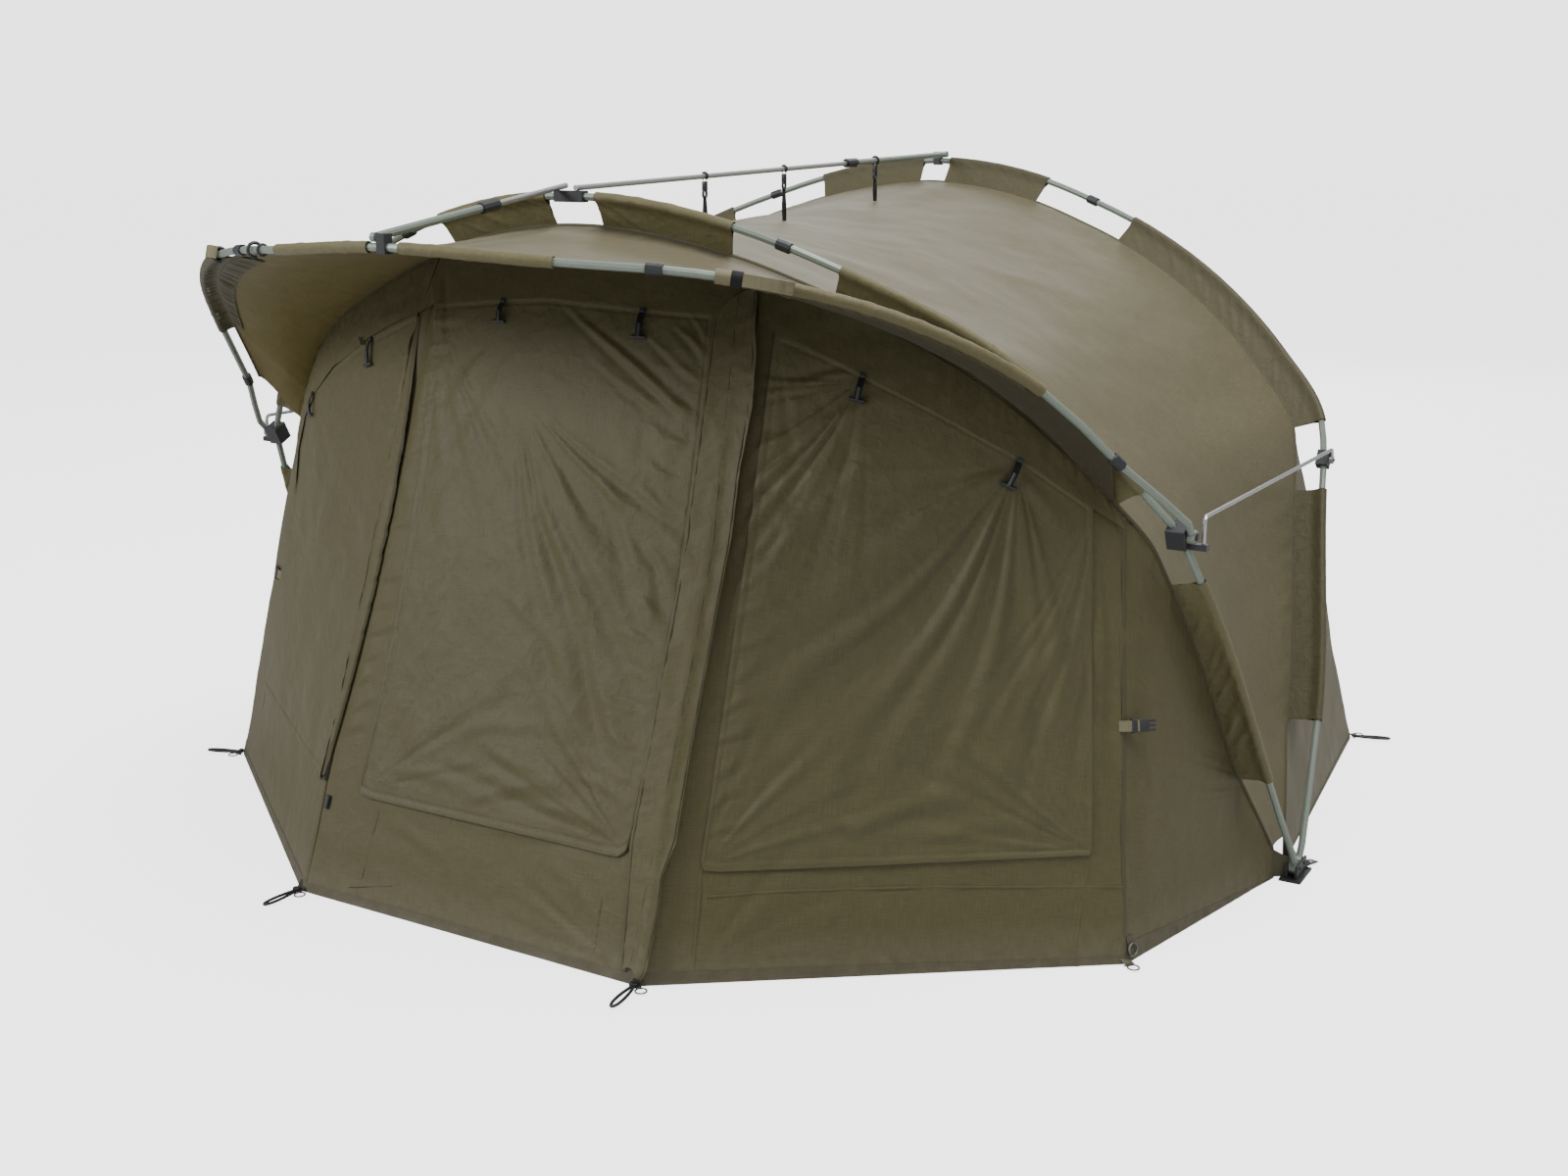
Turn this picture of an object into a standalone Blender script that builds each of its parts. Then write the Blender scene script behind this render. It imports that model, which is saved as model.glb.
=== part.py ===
import math

import bmesh
import bpy
from mathutils import Matrix, Vector

# All sizes are metres. +X is the tent's right side seen from the front, -Y its door side, z = 0 the ground.

# Overall frame
HALF_WIDTH = 1.600              # foot pivots from the centre line
PIVOT_HEIGHT = 0.030            # foot pivots above the ground
PIVOT_SPREAD = 0.022            # each rib's foot pivot ahead of or behind the foot block's middle
FRONT_RISE = 1.855              # front rib's crown from its foot pivots, in the rib's plane
REAR_RISE = 2.050               # rear rib's crown from its foot pivots
FRONT_LEAN = math.radians(26.4)
REAR_LEAN = math.radians(33.2)
PEAK_REACH = 1.008              # peak rib's crown ahead of its pivots
PEAK_RISE = 0.648               # peak rib's crown above its pivots

# Each rib's outline from the right foot to the crown, as shares of its half width and its rise
FRONT_SHARES = (
    (1.0, 0.0), (0.9955, 0.032), (0.972, 0.161), (0.901, 0.489), (0.876, 0.559), (0.83, 0.62),
    (0.78, 0.68), (0.65, 0.80), (0.43, 0.908), (0.347, 0.939), (0.309, 0.9515), (0.27, 0.9625),
    (0.046, 0.999), (0.0, 1.0),
)
REAR_SHARES = (
    (1.0, 0.0), (0.9975, 0.030), (0.9825, 0.184), (0.909, 0.50), (0.90, 0.544), (0.882, 0.60),
    (0.785, 0.70), (0.665, 0.79), (0.45, 0.90), (0.357, 0.933), (0.305, 0.950), (0.253, 0.965),
    (0.03, 0.999), (0.0, 1.0),
)
# The peak rib's, as shares of its half width, its reach and its rise
PEAK_SHARES = (
    (1.0, 0.0, 0.0), (0.917, 0.1806, 0.290), (0.842, 0.355, 0.548), (0.687, 0.603, 0.802),
    (0.51, 0.78, 0.92), (0.403, 0.855, 0.95), (0.335, 0.892, 0.959), (0.267, 0.9266, 0.9676),
    (0.03, 0.998, 0.999), (0.0, 1.0, 1.0),
)
# Places in those tables; the peak rib's first place lies at the front rib's nexus
SKIRT_PLACE, NEXUS_PLACE, WING_PLACE, DOOR_PLACE = 1, 4, 5, 10
FRONT_COLLAR_PLACE, REAR_COLLAR_PLACE, REAR_CLIP_PLACE = 9, 9, 4
BACK_SIDE_PLACE, BACK_PLACE = 5, 9
PEAK_LOW_COLLAR_PLACE, PEAK_HIGH_COLLAR_PLACE = 1, 5
# Stretches of the right half, from place to place, where the sleeve leaves the tube bare
RIB_BARE = ((1, 2), (3, 5), (8, 11))
PEAK_BARE = ((1, 2), (4, 7))

# Rib tubes and their fittings
TUBE_RADIUS = 0.009
GAP = 0.0004                    # between neighbouring pieces
FIT = 0.0008                    # between a tube and the bore it sits in
PIN_FIT = 0.0006                # between a bar's eye and its pin
COLLAR_LENGTH = 0.036
COLLAR_WALL = 0.0035
COLLAR_CHAMFER = 0.0012
BLOCK_EDGE = 0.0008             # bevel on the blocks
EYE_RADIUS = 0.016
PIN_RADIUS = 0.0050
FOOT_WALL = 0.006
FOOT_PLATE = 0.006
FOOT_MARGIN = 0.012             # foot plate past its cheeks
NEXUS_SIZE = (0.046, 0.046, 0.052)      # out, across and along the tube
CLIP_SIZE = (0.034, 0.032, 0.044)
CLIP_WALL = 0.0045
CROWN_CLIP_DEPTH = 0.026        # front to back
CROWN_CLIP_LENGTH = 0.024       # along the crown tube
CROWN_REST_TOP = 0.0130         # front crown clip's flat top above its tube's middle
NEXUS_HOLD_SHARE = 0.60         # tubes' straight ends in the nexus, of its size along the tube
CROWN_REST_LENGTH = 0.084       # along the front tube, under both roof bars
LUG_WIDTH = 2 * TUBE_RADIUS
LUG_HOLD = 0.052                # peak rib's straight end past the nexus block
LEG_HOLD = 0.045                # legs' straight ends past the foot blocks' cheeks
HOLD_CLEAR_SHARE = 1.4          # a tube's bend starts this far from its joint, of its straight end
RIVET_RADIUS = 0.0090
RIVET_HEAD = 0.003
PEAK_HALF_WIDTH = HALF_WIDTH * FRONT_SHARES[NEXUS_PLACE][0] + NEXUS_SIZE[0] / 2 + GAP + LUG_WIDTH / 2

# Roof and side bars
BAR_RADIUS = 0.0095
BAR_WALL = 0.0015
INNER_RADIUS = 0.0070
BAR_EYE_WIDTH = 0.012
BAR_LIFT = 0.0205               # roof bars' pins above the crown tubes
CLAMP_LENGTH = 0.060
CLAMP_WALL = 0.004
CLAMP_CHAMFER = 0.0013
FRONT_CLAMP_SHARE = 0.62        # of the bar, from its pin
REAR_CLAMP_SHARE = 0.34
INNER_ENTRY = 0.060             # inner tube's end inside the outer one, past the clamp
BAR_SIDE = 0.026                # roof bars' middle lines from the tent's middle
BAR_EYE_RADIUS = 0.0100
BAR_START = 0.006               # roof bars' tubes from their pins, inside the eye
BAR_PIN_RADIUS = 0.0040
BAR_END = 0.016                 # roof bars past the middle of the front crown clip
SIDE_BAR_RADIUS = 0.0050
SIDE_EYE_WIDTH = 0.010
SIDE_EYE_RADIUS = 0.0110
SIDE_BAR_DROP = 0.070           # front end's turn down, to the socket
SIDE_BAR_HOOK = 0.030           # rear end's turn down, to its eye
SOCKET_OUT = 0.055              # front socket's bore out from the front tube's middle
SOCKET_DOWN = 0.027             # and down the leg from the peak rib's pivot
SOCKET_SIZE = (0.053, 0.020, 0.014)
SOCKET_REACH = 0.004            # side bar's end below its socket's middle

# Fabric
FABRIC = 0.0030                 # canopy and walls, as thick as a seam
SLEEVE_CLOTH = 0.0012
FIN_WIDTH = 0.078               # front and rear sleeves' seam from the tube's middle
PEAK_FIN_WIDTH = 0.034
TAPE_WIDTH = 0.012              # the seam tape left where the sleeve is cut away
FOOT_FIN = 0.036                # seam from the tube's middle at the foot block
FIN_TAPER = 0.350               # length of leg over which the sleeve widens
SLEEVE_EASE = 0.0022            # sleeve's cloth off its tube
SLEEVE_TURN = (60, 120, 180, 240, 300)  # angles of the cloth's folds round the tube
POCKET_SHARE = 1.75             # where the two layers meet, in pocket radii from the tube's middle
SEAM_CLEAR = 0.0012             # sleeve's edge from the seam
SEAM_SPREAD = 0.0024            # roof panels' edges from the seam they share
BACK_SPREAD = 0.0039            # rear canopy's edge from its seam
WALL_SPREAD = 0.0048            # front wall's edge from its seam
PEAK_SEAM_AHEAD = 0.0045        # peak canopy's edge ahead of the front sleeve's seam
ROOF_SAG = 0.055
PEAK_SAG = 0.030
FULL_SAG_SPAN = 1.0             # shorter spans sag less, in proportion
SEAM_GAP = 0.0016               # between the middles of two panels that are sewn together
HEM_FOOT_IN = 0.044             # hem's ends in from the foot pivots
HEM_FOOT_AHEAD = 0.045          # and ahead of them or behind them
# The hem's other corners on the right half, as shares of the half width across and along
WING_CORNER_SHARES = (0.878, -0.441)
DOOR_CORNER_SHARES = (0.319, -0.850)
BACK_SIDE_CORNER_SHARES = (0.911, 0.726)
BACK_CORNER_SHARES = (0.350, 0.9394)
BACK_SHARES = (0.0, 0.33, 0.67, 1.0)    # rows of the rear canopy, rib to hem
PANEL_SHARES = (0.0, 0.13, 0.32, 0.52, 0.70, 0.86, 1.0)  # rows of a front panel, rib to hem

# Window covers and storm flaps, on the front panels
COVER_THICK = 0.0020
COVER_STAND = 0.0006            # cover off its panel
COVER_ROWS = (1, 5)             # a cover's first and last row of PANEL_SHARES
COVER_STEPS = 4                 # spline steps from the door's seam to a side panel's cover
DOOR_COVER_STEPS = 2
SIDE_COVER_STEPS = 1
FLAP_INWARD = 0.015             # storm flap past the door's seam, over the door
FLAP_OUTWARD = 0.038
FLAP_STAND = 0.0013             # storm flap off the panel, over the zip's teeth
FLAP_TOP_SHARE = 0.35           # how far the flap's top lies down the panel's first row
FLAP_FOOT_SHARE = 0.60          # and its foot down the last row
SLIDER_SIZE = (0.012, 0.034, 0.007)     # across, along and off the door
SLIDER_EDGE = 0.0018
SLIDER_CLEAR = 0.0016           # slider beside the storm flap
SLIDER_ROW_SHARE = 0.86         # how far down the door's seam the closed slider stops

ROOM_MIDDLE = (0.100, 0.450)    # the point behind and above which the canopies hollow towards it
RIB_MIDDLE_SHARE = 0.35         # up a rib's plane, the point its sleeves' seams face
PEAK_FIN_DROP_SHARE = 0.12      # peak sleeve's way in: its fall, of its run
PEAK_FIN_TURN_SHARE = 3.0       # and how much more it falls at the rib's ends
TUBE_NAMES = ("leg_right", "shoulder_right", "crown_tube", "shoulder_left", "leg_left")
# How the names start of the pieces, and of the pivots, that each rib carries
FRONT_CARRIES = (
    "front_leg_", "front_shoulder_", "front_crown_", "front_collar_", "front_sleeve", "nexus_",
    "peak_canopy", "peak_rib_pivot",
)
REAR_CARRIES = (
    "rear_leg_", "rear_shoulder_", "rear_crown_", "rear_collar_", "rear_sleeve", "side_bar_clip_",
    "side_bar_pivot_", "rear_bar_pivot",
)
PEAK_CARRIES = (
    "peak_leg_", "peak_shoulder_", "peak_crown_", "peak_low_", "peak_high_", "peak_sleeve",
    "front_bar_pivot",
)
PIVOT_MARK = 0.05

ARCH_STEPS = 2                  # spline steps between two places of an outline
SPAN_STEPS = 4                  # rows of cloth from rib to rib
BEND_STEPS = 3
TUBE_RESOLUTION = 2
SIDES = 10                      # round a tube or a pin
EYE_SIDES = 14
SMOOTH_ANGLE = math.radians(40)
WELD = 0.00001
CUT_OVERRUN = 0.004
BORE = (TUBE_RADIUS + FIT) / math.cos(math.pi / SIDES)     # at its corners, its flats clear of the tube


def remove_everything():
    for thing in list(bpy.data.objects):
        bpy.data.objects.remove(thing, do_unlink=True)


def collection(name):
    made = bpy.data.collections.new(name)
    bpy.context.scene.collection.children.link(made)
    return made


def material(name, colour, roughness, metallic=0.0):
    made = bpy.data.materials.new(name)
    made.use_nodes = True
    shader = made.node_tree.nodes["Principled BSDF"]
    shader.inputs["Base Color"].default_value = (*colour, 1.0)
    shader.inputs["Roughness"].default_value = roughness
    shader.inputs["Metallic"].default_value = metallic
    made.diffuse_color = (*colour, 1.0)
    return made


def add_mesh(name, mesh, look, into):
    made = bpy.data.objects.new(name, mesh)
    if look:
        mesh.materials.append(look)
    into.objects.link(made)
    return made


def as_guide(thing):
    thing.hide_render = True
    thing.display_type = "WIRE"
    return thing


def turned(axis, at):
    """A place whose own Z runs along axis."""
    return Matrix.Translation(at) @ Vector(axis).to_track_quat("Z", "Y").to_matrix().to_4x4()


def boolean(body, operand, operation):
    step = body.modifiers.new(operand.name, "BOOLEAN")
    step.operation = operation
    step.object = operand
    step.solver = "EXACT"


def block(name, size, place, look, into, bevel=0.0):
    shape = bmesh.new()
    bmesh.ops.create_cube(shape, size=1.0)
    bmesh.ops.scale(shape, vec=Vector(size), verts=shape.verts)
    mesh = bpy.data.meshes.new(name)
    shape.to_mesh(mesh)
    shape.free()
    made = add_mesh(name, mesh, look, into)
    made.matrix_world = place
    if bevel:
        edge = made.modifiers.new("rounded_edges", "BEVEL")
        edge.width = bevel
        edge.segments = 1
        edge.limit_method = "ANGLE"
    return made


def rod(name, radius, length, place, look, into, sides=SIDES):
    shape = bmesh.new()
    bmesh.ops.create_cone(
        shape, cap_ends=True, segments=sides, radius1=radius, radius2=radius, depth=length
    )
    mesh = bpy.data.meshes.new(name)
    shape.to_mesh(mesh)
    shape.free()
    mesh.shade_smooth()
    mesh.set_sharp_from_angle(angle=SMOOTH_ANGLE)
    made = add_mesh(name, mesh, look, into)
    made.matrix_world = place
    return made


def ring(name, inner, outer, length, place, look, into, chamfer=0.0, sides=SIDES):
    """A turned collar, its bore's flats at the inner radius."""
    bore = inner / math.cos(math.pi / sides)
    half = length / 2
    profile = [
        (outer, half - chamfer), (outer, chamfer - half), (outer - chamfer, -half),
        (bore, -half), (bore, half), (outer - chamfer, half),
    ]
    if not chamfer:
        profile = [(outer, half), (outer, -half), (bore, -half), (bore, half)]
    mesh = bpy.data.meshes.new(name)
    edges = [(k, (k + 1) % len(profile)) for k in range(len(profile))]
    mesh.from_pydata([(x, 0.0, z) for x, z in profile], edges, [])
    made = add_mesh(name, mesh, look, into)
    made.matrix_world = place
    turn = made.modifiers.new("turned", "SCREW")
    turn.steps = sides
    turn.render_steps = sides
    turn.use_merge_vertices = True
    turn.merge_threshold = WELD
    return made


def tube(name, path, radius, look, into, resolution=TUBE_RESOLUTION):
    curve = bpy.data.curves.new(name, "CURVE")
    curve.dimensions = "3D"
    line = curve.splines.new("POLY")
    line.points.add(len(path) - 1)
    for point, place in zip(line.points, path):
        point.co = (*place, 1.0)
    curve.bevel_depth = radius
    curve.bevel_resolution = resolution
    curve.use_fill_caps = True
    if look:
        curve.materials.append(look)
    made = bpy.data.objects.new(name, curve)
    into.objects.link(made)
    return made


def tube_to_mesh(thing, look, into):
    """The same tube as a welded mesh, for a piece that is cut or joined."""
    bpy.context.view_layer.update()
    seen = thing.evaluated_get(bpy.context.evaluated_depsgraph_get())
    mesh = bpy.data.meshes.new_from_object(seen)
    shape = bmesh.new()
    shape.from_mesh(mesh)
    bmesh.ops.remove_doubles(shape, verts=shape.verts, dist=WELD)
    shape.to_mesh(mesh)
    shape.free()
    name = thing.name
    place = thing.matrix_world.copy()
    bpy.data.objects.remove(thing, do_unlink=True)
    mesh.materials.clear()
    made = add_mesh(name, mesh, look, into)
    made.name = name
    made.matrix_world = place
    return made


def mirrored(point):
    return Vector((-point.x, point.y, point.z))


def in_plane(shares, rise, lean):
    """A leaning rib's places from its right foot to its crown; lean is positive to the rear."""
    start = Vector((0.0, math.copysign(PIVOT_SPREAD, lean), PIVOT_HEIGHT))
    up = Vector((0.0, math.sin(lean), math.cos(lean)))
    return [start + up * (rise * s) + Vector((HALF_WIDTH * w, 0.0, 0.0)) for w, s in shares]


def peak_places(pivot):
    return [
        Vector((PEAK_HALF_WIDTH * w, pivot.y - PEAK_REACH * r, pivot.z + PEAK_RISE * h))
        for w, r, h in PEAK_SHARES
    ]


def whole_arch(right):
    return right + [mirrored(p) for p in reversed(right[:-1])]


def directions(places, first=None):
    """The arch's direction at each place, from the places on either side of it."""
    out = []
    last = len(places) - 1
    for k, place in enumerate(places):
        if 0 < k < last:
            before, after = place - places[k - 1], places[k + 1] - place
            a, b = before.length, after.length
            out.append((before * (b / a) + after * (a / b)).normalized())
        elif k == 0:
            out.append((first or (places[1] - places[0])).normalized())
        else:
            back = mirrored(first) * -1 if first else places[-1] - places[-2]
            out.append(back.normalized())
    return out


def along(places, heads, a, b, steps=ARCH_STEPS):
    """Points on the smooth arch from place a to place b, and the arch's direction at each."""
    points, ways = [], []
    for k in range(a, b):
        span = (places[k + 1] - places[k]).length
        p, q, m, n = places[k], places[k + 1], heads[k] * span, heads[k + 1] * span
        for step in range(steps + (k == b - 1)):
            t = step / steps
            t2, t3 = t * t, t * t * t
            points.append(
                p * (2 * t3 - 3 * t2 + 1) + m * (t3 - 2 * t2 + t)
                + q * (3 * t2 - 2 * t3) + n * (t3 - t2)
            )
            ways.append(
                (p * (6 * t2 - 6 * t) + m * (3 * t2 - 4 * t + 1)
                 + q * (6 * t - 6 * t2) + n * (3 * t2 - 2 * t)).normalized()
            )
    return points, ways


def section_path(places, heads, a, b, hold_a, hold_b, start_gap, end_gap):
    """A tube's middle line from place a to b, straight for a hold at each end, where a fitting grips it."""
    points, _ = along(places, heads, a, b)
    clear_a, clear_b = hold_a * HOLD_CLEAR_SHARE, hold_b * HOLD_CLEAR_SHARE
    inner = [p for p in points if (p - places[a]).length > clear_a and (p - places[b]).length > clear_b]
    return (
        [places[a] + heads[a] * start_gap, places[a] + heads[a] * hold_a]
        + inner
        + [places[b] - heads[b] * hold_b, places[b] - heads[b] * end_gap]
    )


def fin_width(place, foot, full):
    """How far a leg's sleeve reaches inwards: narrow at the foot block, full width past the taper."""
    return FOOT_FIN + (full - FOOT_FIN) * min(1.0, (place - foot).length / FIN_TAPER)


def sewn_line(points, ways, centre, widths):
    """The seam that a sleeve's fabric makes inside its rib, and the way in to it at each point."""
    seams, inwards = [], []
    for point, way, width in zip(points, ways, widths):
        to_centre = centre(point) - point
        inward = (to_centre - way * to_centre.dot(way)).normalized()
        inwards.append(inward)
        seams.append(point + inward * width)
    return seams, inwards


def sheet(name, rows, thickness, look, into, left_out=()):
    """A cloth panel: a surface through rows of points, but for the faces left out, given its thickness."""
    shape = bmesh.new()
    made = [[shape.verts.new(p) for p in row] for row in rows]
    for number, (upper, lower) in enumerate(zip(made, made[1:])):
        for k in range(len(upper) - 1):
            if (number, k) not in left_out:
                shape.faces.new((upper[k], upper[k + 1], lower[k + 1], lower[k]))
    bmesh.ops.delete(shape, geom=[v for v in shape.verts if not v.link_faces], context="VERTS")
    mesh = bpy.data.meshes.new(name)
    shape.to_mesh(mesh)
    shape.free()
    mesh.shade_smooth()
    panel = add_mesh(name, mesh, look, into)
    cloth = panel.modifiers.new("cloth", "SOLIDIFY")
    cloth.thickness = thickness
    cloth.offset = 0.0
    cloth.use_even_offset = True
    return panel


def spanned(upper, lower, steps, sag, centre, spread):
    """Rows of points from one seam to another, hollowed towards a centre and clear of both seams."""
    rows = []
    for k in range(steps + 1):
        share = k / steps
        row = []
        for a, b in zip(upper, lower):
            way = (b - a).normalized()
            start, end = a + way * spread[0], b - way * spread[1]
            point = start.lerp(end, share)
            hollow = (centre - point).normalized() * (sag * 4 * share * (1 - share))
            row.append(point + hollow * min(1.0, (b - a).length / FULL_SAG_SPAN))
        rows.append(row)
    return rows


def surface_normals(rows, outside):
    """The outward normal at each point of a panel's rows."""
    last_row, last = len(rows) - 1, len(rows[0]) - 1
    normals = []
    for i in range(last_row + 1):
        line = []
        for j in range(last + 1):
            down = rows[min(i + 1, last_row)][j] - rows[max(i - 1, 0)][j]
            across = rows[i][min(j + 1, last)] - rows[i][max(j - 1, 0)]
            normal = down.cross(across).normalized()
            line.append(normal if normal.dot(rows[i][j] - outside) > 0 else -normal)
        normals.append(line)
    return normals


def rib_sleeve(name, arch, bare, crown, look, tent):
    """The folded cloth round a rib, its layers sewn together inside; only its seam tape passes bare tube."""
    radius = TUBE_RADIUS + SLEEVE_EASE + SLEEVE_CLOTH / 2
    layer = SLEEVE_CLOTH / 2 + GAP
    around = [math.radians(a) for a in SLEEVE_TURN]
    columns = []
    for point, way, inward, width in zip(arch["points"], arch["ways"], arch["inwards"], arch["widths"]):
        side = way.cross(inward).normalized()
        edge = width - SEAM_CLEAR
        half = [(edge, layer), (width - TAPE_WIDTH, layer), (radius * POCKET_SHARE, layer)]
        outline = half + [(radius * math.cos(a), radius * math.sin(a)) for a in around]
        outline += [(n, -b) for n, b in reversed(half)]
        columns.append([point + inward * n + side * b for n, b in outline])
    last, first = len(arch["places"]) - 1, arch["first"]
    left_out = set()
    for a, b in list(bare) + [(last - b, last - a) for a, b in bare] + [crown]:
        for column in range((a - first) * ARCH_STEPS, (b - first) * ARCH_STEPS):
            left_out.update((column, k) for k in range(1, len(columns[0]) - 2))
    return sheet(name, columns, SLEEVE_CLOTH, look, tent, left_out)


def rib_arch(right, first_way, first, centre, width_of):
    """A rib's places and directions, and the line that its sleeve follows from its first to its last place."""
    places = whole_arch(right)
    heads = directions(places, first_way)
    points, ways = along(places, heads, first, len(places) - 1 - first)
    widths = [width_of(p) for p in points]
    seams, inwards = sewn_line(points, ways, centre, widths)
    return {
        "places": places, "heads": heads, "first": first, "points": points, "ways": ways,
        "widths": widths, "inwards": inwards, "seams": seams,
    }


def leg_with_eye(name, path, pivot, look, tent, cutters):
    """A rib's lowest tube, its flattened end bored for the foot pin."""
    leg = tube_to_mesh(tube(name, path, TUBE_RADIUS, look, tent), look, tent)
    across = turned((1, 0, 0), pivot)
    eye = as_guide(rod(f"{name}_eye", EYE_RADIUS, 2 * TUBE_RADIUS, across, None, cutters, EYE_SIDES))
    bore = as_guide(
        rod(f"{name}_bore", PIN_RADIUS + FIT, 2 * TUBE_RADIUS + 2 * CUT_OVERRUN, across, None, cutters)
    )
    boolean(leg, eye, "UNION")
    boolean(leg, bore, "DIFFERENCE")
    return leg


def foot_block(name, side, look, tent, cutters):
    """A plastic foot: a plate, two cheeks and the two pins that the front and rear legs turn on."""
    x = side * HALF_WIDTH
    slot = 2 * TUBE_RADIUS + 2 * GAP
    length = 2 * (PIVOT_SPREAD + EYE_RADIUS + FOOT_WALL)
    height = PIVOT_HEIGHT + PIN_RADIUS + FOOT_WALL
    plate = (slot + 2 * FOOT_WALL + 2 * FOOT_MARGIN, length + 2 * FOOT_MARGIN, FOOT_PLATE)
    body = block(name, plate, Matrix.Translation((x, 0, FOOT_PLATE / 2)), look, tent)
    for hand in (-1, 1):
        place = Matrix.Translation((x + hand * (slot + FOOT_WALL) / 2, 0, height / 2))
        cheek = block(f"{name}_cheek_{hand}", (FOOT_WALL, length, height), place, None, cutters)
        boolean(body, as_guide(cheek), "UNION")
        pin_place = turned((1, 0, 0), Vector((x, hand * PIVOT_SPREAD, PIVOT_HEIGHT)))
        pin_length = slot + 2 * FOOT_WALL + 2 * RIVET_HEAD
        pin = rod(f"{name}_pin_{hand}", PIN_RADIUS, pin_length, pin_place, None, cutters)
        boolean(body, as_guide(pin), "UNION")
    return body


def tube_place(arch, k):
    return arch["places"][k], arch["heads"][k]


def bored_block(name, size, at, way, out, look, tent, cutters, bevel, shift=0.0):
    """A fitting whose X faces out and whose Z follows the tube as nearly as it can, bored along the tube."""
    x = out.normalized()
    z = (way - x * way.dot(x)).normalized()
    y = z.cross(x)
    place = Matrix.Translation(at + x * shift) @ Matrix((x, y, z)).transposed().to_4x4()
    body = block(name, size, place, look, tent, bevel)
    length = size[2] + 2 * CUT_OVERRUN
    boolean(body, as_guide(rod(f"{name}_bore", BORE, length, turned(way, at), None, cutters)), "DIFFERENCE")
    return body


def nexus(name, arch, k, side, look, tent, cutters):
    """The block that joins two front tubes, with the peak rib's rivet and the side bar's socket outside it."""
    at, way = tube_place(arch, k)
    out = Vector((side, 0, 0))
    body = bored_block(name, NEXUS_SIZE, at, way, out, look, tent, cutters, BLOCK_EDGE)
    rivet_start = at.x + side * (BORE + NEXUS_SIZE[0] / 2) / 2
    lug_mid = side * PEAK_HALF_WIDTH
    rivet_end = lug_mid + side * (LUG_WIDTH / 2 + GAP + RIVET_HEAD)
    length = abs(rivet_end - rivet_start)
    middle = Vector(((rivet_start + rivet_end) / 2, at.y, at.z))
    rivet = rod(f"{name}_rivet", PIN_RADIUS, length, turned((1, 0, 0), middle), None, cutters)
    boolean(body, as_guide(rivet), "UNION")
    head_at = Vector((lug_mid + side * (LUG_WIDTH / 2 + GAP + RIVET_HEAD / 2), at.y, at.z))
    head = rod(f"{name}_head", RIVET_RADIUS, RIVET_HEAD, turned((1, 0, 0), head_at), None, cutters)
    boolean(body, as_guide(head), "UNION")
    boss_at = socket_place(at, way, side) - Vector((side * (SOCKET_SIZE[0] / 2 - SOCKET_SIZE[1] / 2), 0, 0))
    boss = block(f"{name}_socket", SOCKET_SIZE, Matrix.Translation(boss_at), None, cutters)
    boolean(body, as_guide(boss), "UNION")
    hole_place = turned((0, 0, 1), socket_place(at, way, side))
    depth = SOCKET_SIZE[2] + 2 * CUT_OVERRUN
    hole = rod(f"{name}_hole", SIDE_BAR_RADIUS + FIT, depth, hole_place, None, cutters)
    boolean(body, as_guide(hole), "DIFFERENCE")
    through = rod(f"{name}_through", BORE, NEXUS_SIZE[2] * 2, turned(way, at), None, cutters)
    boolean(body, as_guide(through), "DIFFERENCE")
    return body


def socket_place(at, way, side):
    """Middle of the side bar's front socket."""
    down = Vector((0, -way.y, -way.z)).normalized() * math.copysign(1, way.z)
    return at + down * SOCKET_DOWN + Vector((side * SOCKET_OUT, 0, 0))


def crown_clip(name, arch, side, look, tent, cutters):
    """The clip on a crown tube, with the pin that a roof bar turns on beside it."""
    at, way = arch["places"][len(arch["places"]) // 2], Vector((1, 0, 0))
    low = -TUBE_RADIUS - CLIP_WALL
    high = BAR_LIFT + BAR_PIN_RADIUS + CLIP_WALL
    size = (high - low, CROWN_CLIP_DEPTH, CROWN_CLIP_LENGTH)
    up = Vector((0, 0, 1))
    body = bored_block(name, size, at, way, up, look, tent, cutters, BLOCK_EDGE, (high + low) / 2)
    length = BAR_SIDE + BAR_EYE_WIDTH / 2 + RIVET_HEAD
    pin_at = at + Vector((side * length / 2, 0, BAR_LIFT))
    pin = rod(f"{name}_pin", BAR_PIN_RADIUS, length, turned(way, pin_at), None, cutters)
    boolean(body, as_guide(pin), "UNION")
    return at + Vector((side * BAR_SIDE, 0, BAR_LIFT))


def crown_rest(name, arch, look, tent, cutters):
    """The front rib's flat-topped clip, which both roof bars rest on."""
    at = arch["places"][len(arch["places"]) // 2]
    low = -TUBE_RADIUS - CLIP_WALL
    size = (CROWN_REST_TOP - low, CROWN_CLIP_DEPTH, CROWN_REST_LENGTH)
    bored_block(
        name, size, at, Vector((1, 0, 0)), Vector((0, 0, 1)), look, tent, cutters, BLOCK_EDGE,
        (CROWN_REST_TOP + low) / 2,
    )
    return at


def bar_end(rest, pin, side):
    """Where a roof bar's middle line crosses the front crown clip, lying just clear of its top."""
    rise = CROWN_REST_TOP + INNER_RADIUS + GAP
    slope = abs(rest.z + rise - pin.z) / abs(rest.y - pin.y)
    lift = CROWN_REST_TOP + (INNER_RADIUS + GAP) * math.hypot(1, slope) + slope * CROWN_CLIP_DEPTH / 2
    return Vector((side * BAR_SIDE, rest.y, rest.z + lift))


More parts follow.
